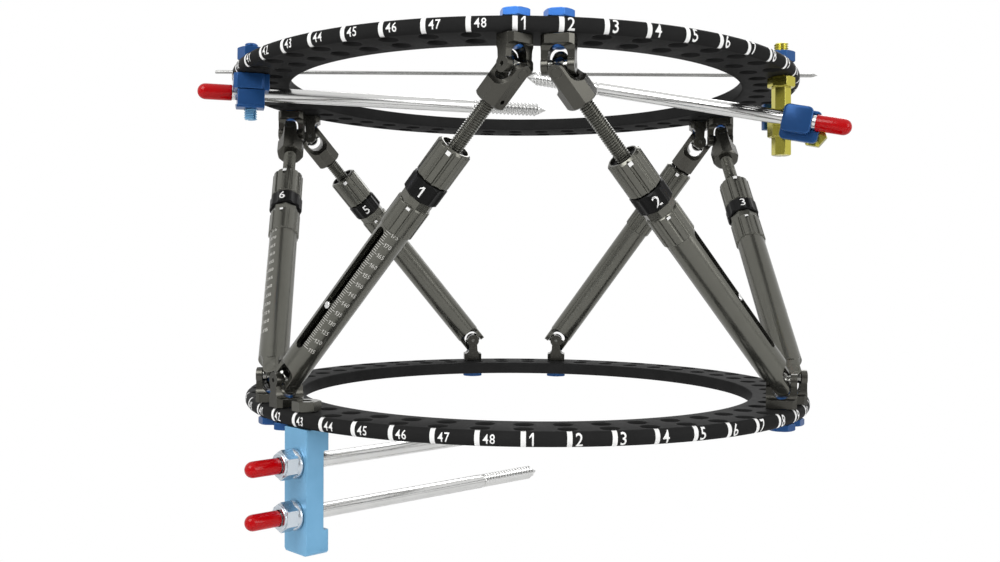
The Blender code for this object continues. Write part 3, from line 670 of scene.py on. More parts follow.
ringMesh = toMesh(ringShape(), "ringComposite", 28)
marksMesh = toMesh(marksShape(), "markWhite")
place("lowerRing", ringMesh, "lower_frame", lowerAt, ["lower_ring"])
place("upperRing", ringMesh.copy(), "upper_frame", upperAt, ["upper_ring"])
place("lowerRingMarks", marksMesh, "lower_frame", lowerAt)
place("upperRingMarks", marksMesh.copy(), "upper_frame", upperAt)
print("rings made")


# yokes, crosses and their blue bolts

yoke = {"joint": 11.2, "gap": 7.2, "ear": 2.6, "head": 3.2, "neck": 4.7, "depth": 9.4, "base": 4.0,
        "corner": 1.7, "dimple": 0.9, "pin": 1.6, "pinDepth": 0.7, "bolt": 3.5}
bolt = {"flats": 10.0, "head": 2.8, "radius": 3.0, "root": 2.55, "pitch": 1.0, "above": 0.7, "seat": 0.3}
endView = axes(Vector((0, 1, 0)), Vector((0, 0, 1)), Vector((1, 0, 0)), Vector())
sideView = axes(Vector((1, 0, 0)), Vector((0, 0, 1)), Vector((0, -1, 0)), Vector())


def yokeShape():
    foot = -yoke["joint"] + bolt["seat"]
    top = -yoke["joint"] + yoke["base"]
    outer = yoke["gap"] / 2 + yoke["ear"]
    halfDepth, head, halfGap = yoke["depth"] / 2, yoke["head"], yoke["gap"] / 2
    side = [(-halfDepth, foot), (halfDepth, foot)]
    hollow = halfDepth - yoke["neck"] / 2
    for step in range(7):  # concave neck between the base and the round head
        angle = math.radians(-90 + 90 * step / 6)
        side.append((halfDepth - hollow * math.cos(angle) ** 0.9 if step else halfDepth,
                     top - 0.3 + (hollow + 0.5) * (1 + math.sin(angle))))
    side += arcPoints(0, 0, head, -46, 226, 14)
    side += [(-x, z) for x, z in reversed(side[2:9])]
    column = prism(cutCorners(-outer, outer, -halfDepth, halfDepth, yoke["corner"]), foot - 1, head + 1)
    gap = block((-halfGap, -20, top + halfGap), (halfGap, 20, head + 5))
    arch = moved(rod(halfGap, -20, 20), shift(z=top + halfGap) @ alongY)
    pinHole = moved(rod(yoke["pin"], yoke["pinDepth"] - outer, outer - yoke["pinDepth"], 24), alongX)
    dimples = moved(rod(yoke["dimple"], -outer - 1, outer + 1, 20), alongX)
    boltHole = rod(yoke["bolt"], foot - 1, top + 3)
    return solid(moved(prism(side, -outer, outer), endView), common=[column],
                 cuts=[gap, arch, pinHole, dimples, boltHole])


def boltShape():
    headTop = -yoke["joint"] - ring["thick"] - bolt["seat"]
    end = -yoke["joint"] + yoke["base"] + bolt["above"]
    head = hexHead(bolt["flats"], headTop - bolt["head"], headTop, 0.55)
    washer = rod(bolt["flats"] / 2 - 0.1, headTop - 0.5, headTop + 0.15, 40)
    shank = thread(bolt["root"], bolt["radius"], bolt["pitch"], headTop - 0.3, end)
    tip = rod(bolt["root"] - 0.15, end - 0.4, end + 0.12, 24, chamfer=0.1)
    return merged([solid(head, joins=[washer]), shank, tip])


cross = {"barrel": 2.3, "core": 2.45, "trunnion": 1.45, "inYoke": 5.3, "inFork": 5.1, "shoulder": 2.4,
         "wallGap": 0.15, "forkWall": 3.5, "hole": 1.55, "holeReach": 5.2}


def crossShape():
    pivot, shoulder, barrel = cross["trunnion"], cross["shoulder"], cross["barrel"]
    yokeWall = yoke["gap"] / 2 - cross["wallGap"]
    bars = []
    for turn, reach, wall in ((alongX, cross["inYoke"], yokeWall),
                              (alongY, cross["inFork"], cross["forkWall"])):
        half = [(barrel, wall - 1.0), (shoulder, wall - 0.7), (shoulder, wall), (pivot, wall),
                (pivot, reach), (0, reach)]
        bars.append(moved(lathe([(x, -z) for x, z in reversed(half)] + half, 32), turn))
    core = rod(cross["core"], -cross["core"], cross["core"], chamfer=0.5)
    return solid(bars[0], joins=[bars[1], core])


# strut tube with its fork, slot and scale

tube = {"radius": 6.3, "bore": 4.1, "boreStart": 12.5, "gap": 7.4, "ear": 3.1, "shoulder": 8.0, "arch": 3.2,
        "slotStart": 17.2, "slotEnd": 79.2, "slotHalf": 2.0, "pinRing": 1.95, "flatAt": 5.9,
        "collarStart": 80.2, "collarEnd": 93.2, "collarRadius": 6.95, "collarDepth": 0.5, "flutes": 12,
        "sleeveEnd": 96.5, "sleeveFlats": 12.2, "sleeveTurn": 0.2}


# fork seen from the side: round ears that widen to the full width; side is 1 above the cross, -1 below
def forkLimits(plan, halfWidth, top, side):
    ear, shoulder = plan["ear"], plan["shoulder"]
    rise = shoulder * 0.45
    curve = [(ear, rise)]
    for step in range(1, 7):
        angle = math.radians(90 * step / 6)
        curve.append((ear + (halfWidth - ear) * (1 - math.cos(angle)),
                      rise + (shoulder - rise) * math.sin(angle)))
    curve.append((halfWidth, top))
    outline = arcPoints(0, 0, ear, 180, 360, 12) + curve + [(-x, z) for x, z in reversed(curve)]
    return moved(prism([(x, side * z) for x, z in outline], -8, 8), sideView)


# gap between the ears, its round root and the cross's hole
def forkCuts(plan, side):
    half, root, far = plan["gap"] / 2, side * plan["arch"], -side * cutterReach
    return [block((-cutterReach, -half, min(root, far)), (cutterReach, half, max(root, far))),
            moved(rod(half, -cutterReach, cutterReach), shift(z=root) @ alongX),
            moved(rod(cross["hole"], -cross["holeReach"], cross["holeReach"], 24), alongY)]


# fine grooves round the cross's ends on both ears
def pinRings(radius, reach, width=0.12):
    rings = []
    for side in (-1, 1):
        near, far = side * reach - side * width, side * (reach + 1)
        groove = [(radius - width, near), (radius, near), (radius, far), (radius - width, far)]
        rings.append(moved(lathe(groove, 32, loop=True), alongY))
    return rings


def tubeShape():
    flatAt, half, far = tube["flatAt"], tube["slotHalf"], cutterReach
    body = rod(tube["radius"], -6, tube["collarStart"] + 0.3, 64, turn=0.02)
    limits = forkLimits(tube, tube["radius"] + 0.4, tube["collarStart"] + 2, 1)
    flats = [block((-far, low, -far), (far, high, tube["shoulder"] - 3))
             for low, high in ((-far, -flatAt), (flatAt, far))]
    cuts = [*forkCuts(tube, 1), *flats, *pinRings(tube["pinRing"], flatAt)]
    body = solid(body, common=[limits], cuts=cuts)
    collar = fluted(tube["collarRadius"], tube["collarDepth"], tube["flutes"], tube["collarStart"],
                    tube["collarEnd"], 0.5)
    sleeve = prism(polygon(tube["sleeveFlats"] / 2 / math.cos(math.pi / 8), 8, tube["sleeveTurn"]),
                   tube["collarEnd"] - 0.3, tube["sleeveEnd"])
    bore = rod(tube["bore"], tube["boreStart"], tube["sleeveEnd"] + 1, 40)
    low, high = tube["slotStart"] + half, tube["slotEnd"] - half
    slotEnds = [moved(rod(half, 0, far, 24), shift(z=z) @ alongX) for z in (low, high)]
    slot = block((0, -half, low), (far, half, high))
    return solid(body, joins=[collar, sleeve], cuts=[bore, slot, *slotEnds])


scalePlan = {"first": 115, "last": 175, "firstAt": 20.1, "step": 0.992, "start": 2.1, "short": 3.7,
             "long": 4.5, "every": 5, "label": 6.25, "line": 0.2, "digit": 1.75, "squeeze": 0.86,
             "gap": 0.2, "lift": 0.02}
wholeStrip = 9.0  # taller than any small number, so that it isn't cut into strips


def scaleShape():
    marks = []
    half = scalePlan["line"] / 2
    for value in range(scalePlan["first"], scalePlan["last"] + 1):
        height = scalePlan["firstAt"] + (value - scalePlan["first"]) * scalePlan["step"]
        numbered = value % scalePlan["every"] == 0
        far = scalePlan["long" if numbered else "short"]
        marks.append(bar(scalePlan["start"], far, height - half, height + half, 8, 1))
        if numbered:
            label = number(str(value), scalePlan["digit"], 0.0, scalePlan["squeeze"], wholeStrip,
                           scalePlan["gap"])
            marks.append(slide(label, scalePlan["label"], height))
    return wrap(merged(marks), tube["radius"], scalePlan["lift"])


# adjusting nut with its number band, and the threaded rod with the upper fork

nut = {"start": 96.8, "bandEnd": 104.5, "end": 120.4, "bandRadius": 7.5, "bandDepth": 0.5, "bandFlutes": 10,
       "bandGroove": 0.7, "bandChamfer": 0.7, "radius": 7.1, "depth": 0.7, "flutes": 12, "bore": 3.35,
       "mouth": 5.5, "mouthDepth": 2.0, "chamfer": 1.0, "linerGap": 0.05, "linerEdge": 0.8, "linerRoot": 0.4}
bandDigit = {"height": 4.6, "bold": 0.008, "squeeze": 0.95, "lift": 0.05}
notches = {"lift": 0.01, "nutHalf": 0.9, "nutTop": 0.95, "nutBottom": 2.6, "collarHalf": 0.8,
           "collarTop": 0.6, "collarBottom": 1.7}
forkUp = {"flats": 12.0, "length": 16.0, "gap": 7.4, "ear": 3.2, "shoulder": 8.2, "arch": 3.1,
          "pinRing": 2.0, "screw": 0.9, "screwAt": 12.6, "screwIn": 5.5, "endInset": 0.9,
          "endBevel": 1.1, "spread": 0.2}
rodPlan = {"root": 2.5, "crest": 3.0, "pitch": 1.0, "reach": 118.13, "threadTo": 104.0, "foot": 3.7,
           "footLength": 4.4, "footBevel": 0.3, "boss": 1.3, "bossFrom": 1.5, "slotHalf": 0.22,
           "slotDepth": 0.25, "slotTurn": 0.6}


def nutShape():
    grip = fluted(nut["radius"], nut["depth"], nut["flutes"], nut["bandEnd"], nut["end"], nut["chamfer"])
    bore = rod(nut["bore"], nut["bandEnd"] - 1, nut["end"] + 1)
    mouth = rod(nut["mouth"], nut["end"] - nut["mouthDepth"], nut["end"] + 1, 40)
    return solid(grip, cuts=[bore, mouth])


def linerShape():
    low, outer = nut["end"] - nut["mouthDepth"] + nut["linerGap"], nut["mouth"] - nut["linerGap"]
    return lathe([(nut["bore"], low), (outer, low), (outer, low + nut["linerEdge"]),
                  (nut["bore"], low + nut["linerRoot"])], loop=True)


def bandShape():
    grip = fluted(nut["bandRadius"], nut["bandDepth"], nut["bandFlutes"], nut["start"], nut["bandEnd"],
                  nut["bandChamfer"], nut["bandGroove"])
    return solid(grip, cuts=[rod(nut["bore"], nut["start"] - 1, nut["bandEnd"] + 1)])


def forkShape(screwSide):
    half, length = forkUp["flats"] / 2, forkUp["length"]
    corner = half / math.cos(math.pi / 8)
    outer = corner + forkUp["spread"]
    inner = corner - forkUp["endInset"]
    keep = lathe([(0, -length), (inner, -length), (outer, -length + forkUp["endBevel"]), (outer, 7), (0, 7)])
    limits = forkLimits(forkUp, half + 0.6, length + 2, -1)
    holeAt = shift(0, screwSide * forkUp["screwIn"], -forkUp["screwAt"]) @ alongY
    screwHole = moved(rod(forkUp["screw"], -3, 3, 20), holeAt)
    return solid(prism(polygon(corner, 8, math.pi / 8), -length, 6), common=[keep, limits],
                 cuts=[*forkCuts(forkUp, -1), screwHole, *pinRings(forkUp["pinRing"], half)])


def rodShape():
    root, threadTo = rodPlan["root"], -rodPlan["threadTo"]
    foot, bevel = rodPlan["foot"], rodPlan["footBevel"]
    low = -rodPlan["reach"] - rodPlan["footLength"] / 2
    high = -rodPlan["reach"] + rodPlan["footLength"] / 2
    screw = thread(root, rodPlan["crest"], rodPlan["pitch"], threadTo, -forkUp["length"] + 0.5)
    plain = lathe([(0, low), (foot - bevel, low), (foot, low + bevel), (foot, high - bevel),
                   (foot - bevel, high), (root, high), (root, threadTo + 0.3), (0, threadTo + 0.3)], 32)
    return merged([screw, plain])


def indicatorShape():
    boss, wall = rodPlan["boss"], tube["radius"]
    stem = moved(rod(boss, rodPlan["bossFrom"], wall - 0.5, 24), alongX)
    head = moved(lathe([(0, wall - 0.9), (boss, wall - 0.9), (boss + 0.12, wall - 0.05),
                        (boss - 0.1, wall + 0.12), (0, wall + 0.16)], 32), alongX)
    slot = block((wall - rodPlan["slotDepth"], -3, -rodPlan["slotHalf"]), (wall + 1, 3, rodPlan["slotHalf"]))
    return solid(stem, joins=[head], cuts=[moved(slot, Matrix.Rotation(rodPlan["slotTurn"], 4, "X"))])


# white line across the edge of the nut or the collar; its plan is measured down from the part's end
def notchMesh(part, end, radius):
    half, top, bottom = notches[part + "Half"], notches[part + "Top"], notches[part + "Bottom"]
    line = bar(-half, half, end - bottom, end - top, 4, 2)
    return toMesh(wrap(line, radius, notches["lift"]), "markWhite")


yokeMesh = toMesh(yokeShape(), "forkMetal")
# the lower bolts are the same part as the upper ones but take the darker blueAnodised: painted shade for
# their place under the ring
boltMeshes = {"lower": toMesh(boltShape(), "blueAnodised"), "upper": toMesh(boltShape(), "boltBlue")}
crossMesh = toMesh(crossShape(), "crossSteel")
tubeMesh = toMesh(tubeShape(), "gunmetal", 26)
scaleMesh = toMesh(scaleShape(), "scaleGrey")
nutMesh = toMesh(nutShape(), "gunmetal", 40)
linerMesh = toMesh(linerShape(), "bandBlack")
bandMesh = toMesh(bandShape(), "bandBlack", 40)
forkMeshes = {side: toMesh(forkShape(side), "forkMetal") for side in (-1, 1)}
rodMesh = toMesh(rodShape(), "gunmetal", 40)
indicatorMesh = toMesh(indicatorShape(), "steel")
print("strut shapes made")

up = Vector((0, 0, 1))
ringUp = (upperAt.to_3x3() @ up).normalized()
front = Vector((0, -1, 0))
otherScrewSide = 6  # the strut whose fork screw is on its other side
for count in range(1, 7):
    pivots = {end: joints[f"{end}_yoke_pivot_{count}"] for end in ("lower", "upper")}  # joints of both ends
    spots = {end: Vector(pivot["pos_m"]) for end, pivot in pivots.items()}
    along = (spots["upper"] - spots["lower"]).normalized()
    strutAt, crossAt = {}, {}
    for end, base in (("lower", up), ("upper", -ringUp)):
        axis = Vector(pivots[end]["axis"]).normalized()
        forkAxis = axis.cross(along).normalized()
        side = forkAxis.cross(along)
        strutAt[end] = axes(side, along.cross(side), along, spots[end])
        crossAt[end] = axes(axis, forkAxis, axis.cross(forkAxis), spots[end])
        footAt = axes(axis, base.cross(axis), base, spots[end])
        place(f"{end}Yoke{count}", yokeMesh, f"{end}_frame", footAt, [f"{end}_yoke_{count}"])
        place(f"{end}YokeBolt{count}", boltMeshes[end], f"{end}_frame", footAt)
    for end, at in crossAt.items():
        place(f"{end}Cross{count}", crossMesh, f"{end}_cross_body_{count}", at, [f"{end}_cross_{count}"])
    indicatorAt = strutAt["lower"].copy()
    indicatorAt.translation = spots["upper"] - along * rodPlan["reach"] * mm
    facing = (front - along * front.dot(along)).normalized()
    digitAt = axes(facing, along.cross(facing), along, spots["lower"])
    digit = number(str(count), bandDigit["height"], bandDigit["bold"], bandDigit["squeeze"], wholeStrip)
    slide(digit, 0, (nut["start"] + nut["bandEnd"]) / 2)
    digitMesh = toMesh(wrap(digit, nut["bandRadius"], bandDigit["lift"]), "markWhite")
    nutNotch = notchMesh("nut", nut["end"], nut["radius"])
    collarNotch = notchMesh("collar", tube["collarEnd"], tube["collarRadius"])
    forkMesh = forkMeshes[-1 if count == otherScrewSide else 1]
    for name, mesh, body, at, replaced in (
            ("strutTube", tubeMesh, "tube", strutAt["lower"], "strut_tube"),
            ("strutScale", scaleMesh, "tube", strutAt["lower"], None),
            ("adjustingNut", nutMesh, "nut", strutAt["lower"], "adjusting_nut"),
            ("numberBand", bandMesh, "nut", strutAt["lower"], None),
            ("nutLiner", linerMesh, "nut", strutAt["lower"], None),
            ("threadedRod", rodMesh, "rod", strutAt["upper"], "threaded_rod"),
            ("upperFork", forkMesh, "rod", strutAt["upper"], None),
            ("indicator", indicatorMesh, "rod", indicatorAt, None),
            ("bandNumber", digitMesh, "nut", digitAt, None),
            ("nutMark", nutNotch, "nut", digitAt, None),
            ("collarMark", collarNotch, "tube", digitAt, None)):
        place(f"{name}{count}", mesh, f"{body}_{count}", at, [f"{replaced}_{count}"] if replaced else ())
print("struts made")


# half pins with rubber caps, wire

pin = {"radius": 3.0, "root": 2.3, "pitch": 1.75, "threadLength": 34.0, "point": 4.0}
cap = {"radius": 3.4, "length": 14.4}
lowerCap = {"radius": 3.2, "length": 14.2}


def pinShape(inside, outside):
    threadEnd = inside - pin["point"]
    threadStart = inside - pin["threadLength"]
    radius, root = pin["radius"], pin["root"]
    shaft = lathe([(0, -outside - 5), (radius, -outside - 5), (radius, threadStart - 1),
                   (root, threadStart + 0.6), (0, threadStart + 0.6)], 32)
    screw = thread(root, radius - 0.05, pin["pitch"], threadStart, threadEnd, 28)
    tip = lathe([(0, threadEnd - 0.5), (root, threadEnd - 0.5), (root * 0.92, threadEnd + 0.4),
                 (0.35, inside - 0.2), (0, inside)], 28)
    return moved(merged([shaft, screw, tip]), alongX)


def capShape(outside, plan):
    radius, end, inner = plan["radius"], -outside - plan["length"], pin["radius"] + 0.02
    profile = [(0, end)]
    for step in range(1, 9):
        angle = math.radians(90 * step / 8)
        profile.append((radius * math.sin(angle), end + radius * (1 - math.cos(angle))))
    profile += [(radius, -outside - 0.5), (radius - 0.1, -outside - 0.15), (radius - 0.35, -outside),
                (inner, -outside), (inner, -outside - 4), (0, -outside - 4)]
    return moved(lathe(profile), alongX)


def addPin(name, nodeName, body, at, inside, outside, plan=cap):
    place(name, toMesh(pinShape(inside, outside), "steel", 40), body, at, [nodeName])
    place(name + "Cap", toMesh(capShape(outside, plan), "redCap"), body, at)


wire = {"radius": 0.8, "reach": 269.75, "shift": 0.6, "middle": -16.4, "heading": 0.68, "point": 3.2,
        "facets": 3, "bevel": 0.15, "seat": 0.3}


def wireShape():
    end, radius, bevel = wire["reach"] / 2, wire["radius"], wire["bevel"]
    shaft = lathe([(0, -end), (radius - bevel, -end), (radius, -end + bevel), (radius, end), (0, end)], 20)
    slope = math.atan2(radius, wire["point"])
    tip = shift(z=end) @ Matrix.Rotation(-slope, 4, "Y")
    turn = 2 * math.pi / wire["facets"]
    cuts = [moved(block((0, -3, -6), (6, 3, 6)), Matrix.Rotation(turn * index, 4, "Z") @ tip)
            for index in range(wire["facets"])]
    return moved(solid(shaft, cuts=cuts), alongX)


wireSpot = Vector((wire["shift"], wire["middle"], halfRing + wire["seat"] + wire["radius"]))
wireAt = upperAt @ Matrix.Translation(wireSpot * mm) @ spin(wire["heading"])
place("wire", toMesh(wireShape(), "wireSteel"), "upper_frame", wireAt, ["wire"])


def pinFrame(point, heading, slope):
    across = math.cos(slope)
    x = Vector((across * math.cos(heading), across * math.sin(heading), math.sin(slope)))
    y = Vector((-math.sin(heading), math.cos(heading), 0))
    return axes(x, y, x.cross(y), point)


def pinRoom(reach=20):
    return moved(rod(pin["radius"] + clearance, -reach, reach), alongX)


# left clamp

left = {"hole": 40, "heading": 15.2, "slope": -0.3, "drop": 9.8, "offset": 6.6, "inside": 132.4,
        "outside": 7.3, "leftSide": 7.0, "rightSide": 6.1, "front": 6.2, "back": 12.0, "split": 9.8,
        "splitGap": 0.15, "foot": 11.6, "bottom": 17.7, "footFlat": 1.5, "footLift": 3.0, "stud": 2.7,
        "studRoot": 2.25, "studBottom": 22.1, "studTop": 10.2, "studShift": 0.3, "nutHeight": 5.1,
        "seat": 0.3, "plate": 1.7, "slot": 1.0,
        "slotTurn": 40, "flange": 1.1, "corner": 1.5, "blockBevel": 0.25, "footBevel": 0.22}
leftHeading = math.radians(left["heading"])
leftStud = ringSpot(left["hole"], outerRow)
leftSide = Vector((-math.sin(leftHeading), math.cos(leftHeading), 0))
leftPoint = leftStud + (leftSide * left["offset"] - Vector((0, 0, left["drop"]))) * mm
leftPinAt = upperAt @ pinFrame(leftPoint, leftHeading, math.radians(left["slope"]))
leftAt = upperAt @ Matrix.Translation(leftStud) @ Matrix.Rotation(leftHeading, 4, "Z")
leftStudAt = leftAt @ shift(left["studShift"] * mm)


def leftRooms():
    pinAt = shift(0, left["offset"], -left["drop"]) @ spin(-left["slope"], "Y")
    return [moved(pinRoom(), pinAt), moved(rod(left["stud"] + clearance, -30, 0), shift(left["studShift"]))]


def leftBlockShape():
    west, east, south, north = -left["leftSide"], left["rightSide"], -left["front"], left["back"]
    top = -halfRing - left["seat"]
    outline = cutCorners(west, east, south, north, left["corner"])
    body = prism(outline, -left["split"] + left["splitGap"], top)
    plate = block((east - 0.5, south + 0.9, -left["split"] - 0.35),
                  (east + left["plate"], north - 1.0, top), 0.3)
    return solid(soften(body, left["blockBevel"]), joins=[plate], cuts=leftRooms())


def leftFootShape():
    half, south, north, flat = left["foot"] / 2, -left["front"], left["back"], left["footFlat"]
    top, bottom = -left["split"] - left["splitGap"], -left["bottom"]
    lift, band = left["footLift"], left["flange"]
    body = prism([(south + 0.4, top), (south + 0.4, bottom + 0.5), (flat, bottom + 0.5),
                  (north - 0.3, bottom + lift + 0.5), (north - 0.3, top)], -half + 0.5, half)
    flange = prism([(south, bottom + band), (south, bottom), (flat, bottom), (north, bottom + lift),
                    (north, bottom + lift + band), (flat, bottom + band)], -half, half)
    for shape in (body, flange):
        moved(soften(shape, left["footBevel"]), endView)
    return solid(body, joins=[flange], cuts=leftRooms())


def leftStudShape():
    top, radius, low = left["studTop"], left["stud"], halfRing + left["seat"]
    core = rod(left["studRoot"], -left["bottom"] + 1.8, top - 1)
    end = lathe([(0, top - 1.2), (radius, top - 1.2), (radius, top - 0.4), (radius - 0.4, top), (1.2, top),
                 (1.0, top - 0.4), (0, top - 0.4)], 32)
    return merged([core, end, hexHead(bolt["flats"], low, low + left["nutHeight"])])


def leftStudEndShape():
    low, half = -left["studBottom"], left["slot"] / 2
    screw = thread(left["studRoot"], left["stud"], 1.0, low, -left["bottom"] + 2)
    cut = block((-half, -6, low - 1), (half, 6, -left["bottom"] - 0.6))
    return solid(screw, cuts=[moved(cut, spin(left["slotTurn"]))])


for name, shape, at, nodeName in (("leftClampBlock", leftBlockShape(), leftAt, "left_clamp_block"),
                                  ("leftClampFoot", leftFootShape(), leftAt, "left_clamp_foot"),
                                  ("leftClampStud", leftStudShape(), leftStudAt, "left_clamp_stud")):
    place(name, toMesh(shape, "blueAnodised"), "upper_frame", at, [nodeName])
place("leftClampStudEnd", toMesh(leftStudEndShape(), "lightBlueAnodised"), "upper_frame", leftStudAt)
addPin("upperLeftPin", "upper_left_pin", "upper_frame", leftPinAt, left["inside"], left["outside"])
print("left clamp made")


# right post and clamp

right = {"hole": 10, "heading": 160.1, "slope": 12.0, "drop": 21.2, "inside": 112.5, "bodyThick": 3.9,
         "bodyLeft": -1.6, "bodyRight": 17.2, "bodyTop": 4.8, "bodyBottom": 8.4, "bodyCorner": 2.0,
         "bodyBevel": 0.45, "jawThick": 3.8, "jawWidth": 12.0, "jawHeight": 11.4, "jawCentre": 8.1,
         "jawCorner": 2.2, "jawBevel": 0.7, "studRise": 2.4, "studTurn": 28, "studRadius": 1.6,
         "plateWidth": 10.5, "plateHeight": 11.0, "plateThick": 3.6, "screwAlong": 15.2, "screwBelow": 4.5,
         "screwDepth": 1.6, "screwRadius": 1.2, "nutFlats": 9.0, "nutHeight": 3.6, "capStart": 15.5,
         "seat": 0.3}
post = {"flange": 4.3, "shaft": 7.0, "wide": 10.0, "wideStart": 20.8, "wideEnd": 28.4, "bottom": 36.1,
        "top": 11.1, "nutHeight": 4.3, "hole": 1.9}
rightHeading = math.radians(right["heading"])
rightStud = ringSpot(right["hole"], outerRow)
rightSide = Vector((-math.sin(rightHeading), math.cos(rightHeading), 0))
seat = right["seat"]
bodyBack = post["wide"] / 2 + seat
pinFromPost = bodyBack + right["bodyThick"] + seat
screwBack = seat * 2 + right["bodyThick"]
crossHole = shift(z=right["studRise"] - right["drop"]) @ spin(right["studTurn"]) @ alongY
rightPoint = rightStud + (rightSide * pinFromPost - Vector((0, 0, right["drop"]))) * mm
rightPinAt = upperAt @ pinFrame(rightPoint, rightHeading, math.radians(right["slope"]))
postAt = upperAt @ Matrix.Translation(rightStud) @ Matrix.Rotation(rightHeading, 4, "Z")
clampHole = shift(-right["screwAlong"], 0, -right["screwBelow"]) @ alongY


def postShape():
    top = -halfRing - seat
    shaft = hexHead(post["shaft"], -post["bottom"], top - 0.3)
    flange = hexHead(bolt["flats"], top - post["flange"], top, 0.7)
    wide = hexHead(post["wide"], -post["wideEnd"], -post["wideStart"], 0.6)
    studRoom = moved(rod(post["hole"], -8, 8, 24), crossHole)
    screw = thread(2.5, 3.0, 1.0, top - 0.8, post["top"])
    return merged([solid(shaft, joins=[flange, wide], cuts=[studRoom]), screw])


def postNutShape():
    low = halfRing + seat
    return solid(hexHead(bolt["flats"], low, low + post["nutHeight"]), cuts=[rod(3.15, 0, 20)])


def roundedRect(centreX, centreZ, width, height, corner):
    outline = []
    for quarter, (signX, signZ) in enumerate(((1, 1), (-1, 1), (-1, -1), (1, -1))):
        outline += arcPoints(centreX + signX * (width / 2 - corner), centreZ + signZ * (height / 2 - corner),
                             corner, 90 * quarter, 90 * quarter + 90, 6)
    return outline


# plate across the pin, with both faces rounded at the rim
def softPlate(outline, back, front, chamfer):
    shape = prism(outline, -front, -back)
    rim = [edge for edge in shape.edges if abs(edge.verts[0].co.z - edge.verts[1].co.z) < 0.01]
    return moved(soften(shape, chamfer, 0.5, 3, rim), sideView)


def bodyShape():
    width, height = right["bodyLeft"] + right["bodyRight"], right["bodyTop"] + right["bodyBottom"]
    outline = roundedRect(right["bodyLeft"] - width / 2, right["bodyTop"] - height / 2, width, height,
                          right["bodyCorner"])
    body = softPlate(outline, -seat - right["bodyThick"], -seat, right["bodyBevel"])
    studFrame = rightPinAt.inverted() @ postAt
    studFrame.translation = studFrame.translation / mm
    studFrame = studFrame @ crossHole
    plateGap = post["wide"] / math.sqrt(3) + seat
    plateEnd = plateGap + right["plateThick"]
    studFront = -(bodyBack + right["bodyThick"] / 2) / math.cos(math.radians(right["studTurn"]))
    stud = moved(rod(right["studRadius"], studFront, plateEnd - 1, 24), studFrame)
    halfWidth, halfHeight = right["plateWidth"] / 2, right["plateHeight"] / 2
    plate = block((-halfWidth, -halfHeight, plateGap), (halfWidth, halfHeight, plateEnd), 0.5)
    screwLow = screwBack - right["screwDepth"] - clearance
    screwRoom = moved(rod(right["screwRadius"] + clearance, screwLow, cutterReach, 24), clampHole)
    capRoom = moved(rod(cap["radius"] + clearance, -40, clearance - right["capStart"]), alongX)
    return solid(body, joins=[stud, moved(plate, studFrame)], cuts=[pinRoom(40), screwRoom, capRoom])


def jawShape():
    outline = roundedRect(-right["jawCentre"], 0, right["jawWidth"], right["jawHeight"], right["jawCorner"])
    return solid(softPlate(outline, seat, seat + right["jawThick"], right["jawBevel"]), cuts=[pinRoom(40)])


def clampScrewShape():
    shank = rod(right["screwRadius"], screwBack - right["screwDepth"], screwBack + 0.3, 24)
    head = hexHead(right["nutFlats"], screwBack, screwBack + right["nutHeight"])
    return moved(merged([shank, head]), clampHole)


for name, shape, look, at, nodeName in (
        ("rightPost", postShape(), "gold", postAt, "right_post"),
        ("rightPostNut", postNutShape(), "blueAnodised", postAt, "right_post_nut"),
        ("rightClampBody", bodyShape(), "blueAnodised", rightPinAt, "right_clamp_body"),
        ("rightClampJaw", jawShape(), "blueAnodised", rightPinAt, "right_clamp_jaw"),
        ("rightClampScrew", clampScrewShape(), "gold", rightPinAt, "right_clamp_screw")):
    place(name, toMesh(shape, look), "upper_frame", at, [nodeName])
addPin("upperRightPin", "upper_right_pin", "upper_frame", rightPinAt, right["inside"], right["capStart"])
print("right clamp made")


# light blue pin block with its bolt, two pins and flanged nuts

pinBlock = {"hole": 43, "radial": 10.3, "across": 15.6, "height": 49.5, "corner": 1.0, "bevel": 0.3,
            "recess": 2.4, "recessStart": 8.8, "recessEnd": 40.0, "depths": (13.9, 34.3), "tip": 6.4,
            "seat": 0.3, "boltFlats": 10.0, "boltHeight": 4.0, "boltTurn": 26, "socketFlats": 4.0,
            "socketDepth": 1.8}
pinNut = {"flangeRadius": 6.0, "flange": 1.8, "flangeEdge": 0.8, "slope": 0.6, "flats": 10.5, "length": 5.7,
          "collar": 5.0, "collarLength": 0.9}
blockAxis = ringSpot(pinBlock["hole"], outerRow)
blockIn = Vector((-blockAxis.x, -blockAxis.y, 0)).normalized()
blockTop = Vector((blockAxis.x, blockAxis.y, (-halfRing - pinBlock["seat"]) * mm))
blockAt = axes(blockIn, up.cross(blockIn), up, blockTop)


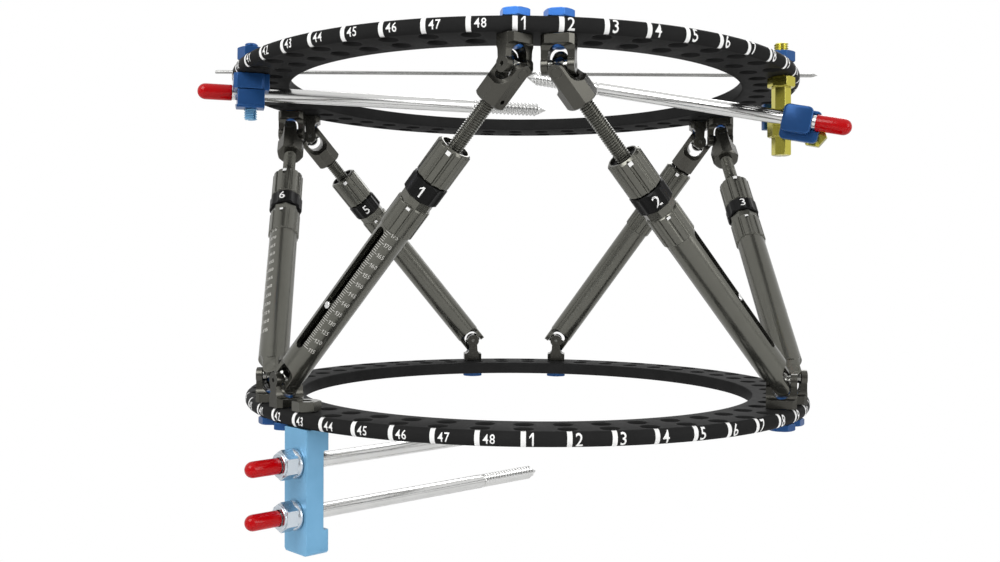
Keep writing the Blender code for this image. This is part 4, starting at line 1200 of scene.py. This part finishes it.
def pinBlockShape():
    halfR, halfT = pinBlock["radial"] / 2, pinBlock["across"] / 2
    low, corner = -pinBlock["height"], pinBlock["corner"]
    shape = prism([(-halfT, 0), (-halfT, low + corner), (-halfT + corner, low), (halfT - corner, low),
                   (halfT, low + corner), (halfT, 0)], -halfR, halfR)
    moved(soften(shape, pinBlock["bevel"], 0.5), endView)
    recess = block((halfR - pinBlock["recess"], -20, -pinBlock["recessEnd"]),
                   (halfR + 5, 20, -pinBlock["recessStart"]), 0.8)
    return solid(shape, cuts=[recess, *(moved(pinRoom(), shift(z=-depth)) for depth in pinBlock["depths"])])


def blockBoltShape():
    low = ring["thick"] + pinBlock["seat"] * 2
    top = low + pinBlock["boltHeight"]
    socket = hexHead(pinBlock["socketFlats"], top - pinBlock["socketDepth"], top + 2, 0.01)
    head = solid(hexHead(pinBlock["boltFlats"], low, top), cuts=[socket])
    return moved(merged([head, rod(3.0, -1, low + 0.4)]), spin(pinBlock["boltTurn"]))


pinNutStart = pinBlock["radial"] / 2 + pinBlock["seat"]
flangeEnd = pinNutStart + pinNut["flange"]
pinNutEnd = flangeEnd + pinNut["length"]


def pinNutShape():
    radius, hexEnd = pinNut["flangeRadius"], pinNutEnd - pinNut["collarLength"]
    flange = lathe([(0, pinNutStart), (radius, pinNutStart), (radius, pinNutStart + pinNut["flangeEdge"]),
                    (radius - pinNut["slope"], flangeEnd), (0, flangeEnd)])
    head = hexHead(pinNut["flats"], flangeEnd - 0.4, hexEnd)
    collar = rod(pinNut["collar"], hexEnd - 0.3, pinNutEnd, 48, chamfer=0.3)
    return solid(flange, joins=[head, collar], cuts=[rod(pin["radius"] + clearance, 0, pinNutEnd + 5)])


place("pinBlock", toMesh(pinBlockShape(), "lightBlueAnodised"), "lower_frame", blockAt, ["pin_block"])
place("pinBlockBolt", toMesh(blockBoltShape(), "gunmetal"), "lower_frame", blockAt)
pinNutMesh = toMesh(pinNutShape(), "nutSteel")
for index, depth in enumerate(pinBlock["depths"], start=1):
    at = blockAt @ shift(z=-depth * mm)
    place(f"pinNut{index}", pinNutMesh, "lower_frame", at @ spin(-90, "Y"), [f"pin_nut_{index}"])
    addPin(f"lowerPin{index}", f"lower_pin_{index}", "lower_frame", at, outerRow + pinBlock["tip"],
           pinNutEnd + pinBlock["seat"], lowerCap)
print("pin block made")
